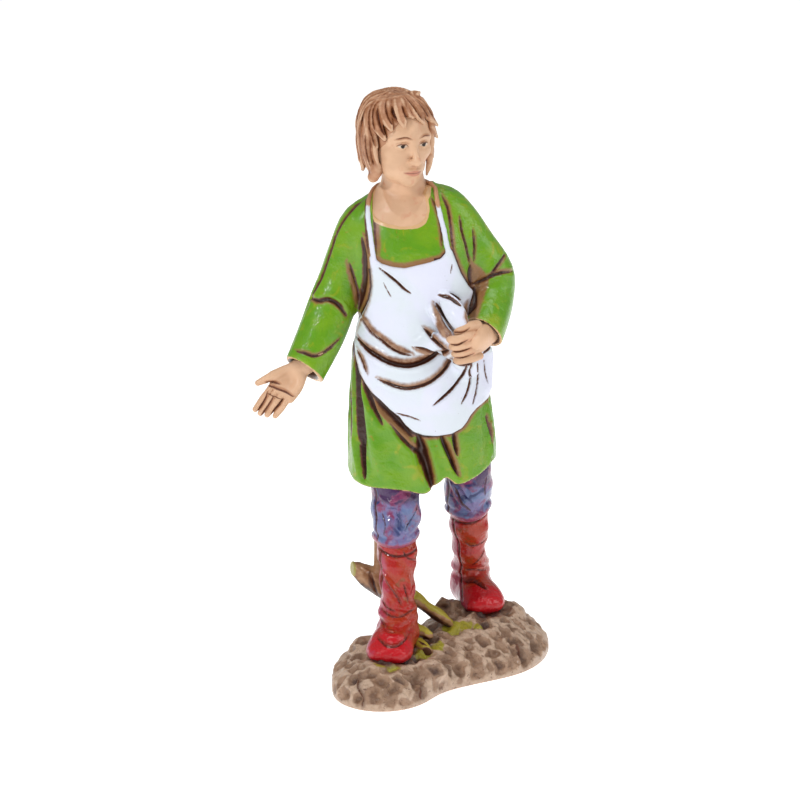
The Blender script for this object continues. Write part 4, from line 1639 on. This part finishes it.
# %% Comb marks and creases
x, y, z = hair.places.T
angle = np.degrees(np.arctan2(x - HAIR["aside"], HAIR["behind"] - y))
comb = np.sin(np.radians(angle) * 64 + 1.5 * np.sin(0.7 * z + 0.06 * angle))
comb = comb * smooth(np.abs(angle), 88, 100)
comb *= smooth(np.hypot(x, y), 2.0, 4.0)
hair.shift += 0.05 * comb
DEGREE = 0.12  # millimetres of hair for one degree round the head
CREASES = [
    (0.32, 0.5, 0.6, [(-63, 6.2), (-57, 4.4), (-51, 2.8), (-45, 1.4)]),
    (0.16, 0.3, 0.4, [(-52, 7.4), (-46, 6.2), (-41, 4.8), (-34, 3.6)]),
    (0.26, 0.4, -0.5, [(-37, 7.0), (-33, 5.6), (-27, 4.2)]),
    (0.22, 0.4, 0.4, [(-19, 7.2), (-15, 5.8), (-9, 4.4)]),
    (0.12, 0.25, 0.3, [(-4, 8.2), (0, 7.2), (6, 5.8), (14, 4.4)]),
    (0.20, 0.4, -0.4, [(16, 7.6), (22, 6.2), (31, 4.6)]),
    (0.12, 0.3, 0.4, [(30, 8.0), (36, 6.4), (44, 4.6), (52, 3.4)]),
    (0.20, 0.4, 0.5, [(-80, 7.0), (-76, 4.4), (-69, 1.4), (-61, -1.0)]),
    (0.14, 0.3, 0.4, [(-72, 6.8), (-67, 4.4), (-60, 2.0)]),
    (0.20, 0.4, 0.4, [(-77, 0.6), (-75, -2.2), (-71, -5.2)]),
    (0.26, 0.4, 0.8, [(-91, 5.4), (-94, 2.6), (-95, -1.0), (-91, -5.6)]),
    (0.08, 0.2, 0.2, [(-108, 7.0), (-113, 3.4), (-114, -1.0), (-110, -6.4)]),
    (0.10, 0.2, 0.3, [(-120, 7.4), (-124, 3.0), (-123, -1.6), (-120, -6.0)]),
    (0.10, 0.2, 0.0, [(-134, 7.0), (-136, 2.0), (-134, -3.0)]),
]
laid_out = [(*stroke, [(DEGREE * u, v) for u, v in run]) for *stroke, run in CREASES]
sink, hair.masks["wash"], hair.masks["spill"] = draw(DEGREE * angle, z, laid_out)
hair.shift += sink
hair.masks["comb"] = comb
print(len(CREASES), "creases in the hair")


# %% Hair paint
def hair_paint():
    paint = Paint("brown_hair_paint", tone(0.72, 0.53, 0.41), rough=0.42, coat=0.15, coat_rough=0.2,
        shine=0.15)
    paint.over(paint.noise(3.0, 3.0, 0.5), 0.35, 0.65, 0.62, 0.43, 0.31)
    hollow = paint.ragged(paint.add(paint.mask("hollow"), paint.mask("comb"), -0.05), 0.35, 2.0, 3.0)
    paint.over(hollow, -0.04, -0.18, 0.80, 0.65, 0.53)
    paint.over(hollow, 0.00, 0.14, 0.48, 0.29, 0.18)
    paint.over(hollow, 0.12, 0.30, 0.28, 0.13, 0.06)
    paint.flood(tone(0.54, 0.33, 0.19), 0.3, tone(0.40, 0.21, 0.10), tone(0.26, 0.11, 0.05))
    return paint.finish(paint.noise(0.5), 0.05)


pose_head(hair)
hair.finish("combed_hair", "painted_skin", hair_paint())


# %% [markdown]
# ## Camera, light and floor
#
# The figure was photographed on a white table, from a little above, in the soft light of a small studio.
# Three area lights stand for its lamps. The small one on the left gives the glints on the varnish, and
# the floor shines a little by itself, because a lit floor alone would come out grey.

# %% Camera
TARGET = Vector((-8.35, -5.3, 57.4)) * MM
DISTANCE = 0.615
TILT = math.radians(15)
camera_data = bpy.data.cameras.new("camera")
camera_data.lens = 139
camera_data.sensor_width = 36
camera = bpy.data.objects.new("camera", camera_data)
bpy.context.scene.collection.objects.link(camera)
camera.location = TARGET + Vector((0, -math.cos(TILT), math.sin(TILT))) * DISTANCE
camera.rotation_euler = (math.radians(90) - TILT, 0, 0)
bpy.context.scene.camera = camera
print(f"the camera stands {camera.location.z:.2f} m above the floor")

# %% Light
bpy.context.scene.view_settings.view_transform = "Standard"
world = bpy.data.worlds.new("studio")
bpy.context.scene.world = world
world.use_nodes = True
sky = world.node_tree.nodes["Background"].inputs
sky["Color"].default_value = (1, 1, 1, 1)
sky["Strength"].default_value = 0.30
SOFTBOXES = {  # place and size in metres, and watts
    "left_softbox": ((-0.55, -0.55, 0.55), (0.03, 0.12), 3.0),
    "right_softbox": ((0.7, -0.25, 0.45), (0.4, 0.5), 1.8),
    "top_softbox": ((0.0, -0.1, 0.9), (0.5, 0.5), 2.6),
}
for name, (place, size, energy) in SOFTBOXES.items():
    lamp = bpy.data.lights.new(name, "AREA")
    lamp.shape = "RECTANGLE"
    lamp.size, lamp.size_y = size
    lamp.energy = energy
    softbox = bpy.data.objects.new(name, lamp)
    softbox.location = place
    softbox.rotation_euler = (TARGET - softbox.location).to_track_quat("-Z", "Y").to_euler()
    bpy.context.scene.collection.objects.link(softbox)
print(len(SOFTBOXES), "softboxes")

# %% Floor
FLOOR = 4.0  # half its width, in metres
FLOOR_GLOW = 0.66
floor_mesh = bpy.data.meshes.new("pale_floor")
corners = [(x * FLOOR, y * FLOOR, 0) for x, y in ((-1, -1), (1, -1), (1, 1), (-1, 1))]
floor_mesh.from_pydata(corners, [], [(0, 1, 2, 3)])
floor = bpy.data.objects.new("pale_floor", floor_mesh)
bpy.context.scene.collection.objects.link(floor)
floor_paint = Paint("pale_floor_paint", (0.9, 0.9, 0.9, 1), rough=0.9, shine=0.0)
floor_paint.shader["Base Color"].default_value = floor_paint.colour
floor_paint.shader["Emission Color"].default_value = (1, 1, 1, 1)
floor_paint.shader["Emission Strength"].default_value = FLOOR_GLOW
floor_mesh.materials.append(floor_paint.material)
print(f"the floor is {2 * FLOOR:.0f} m wide")
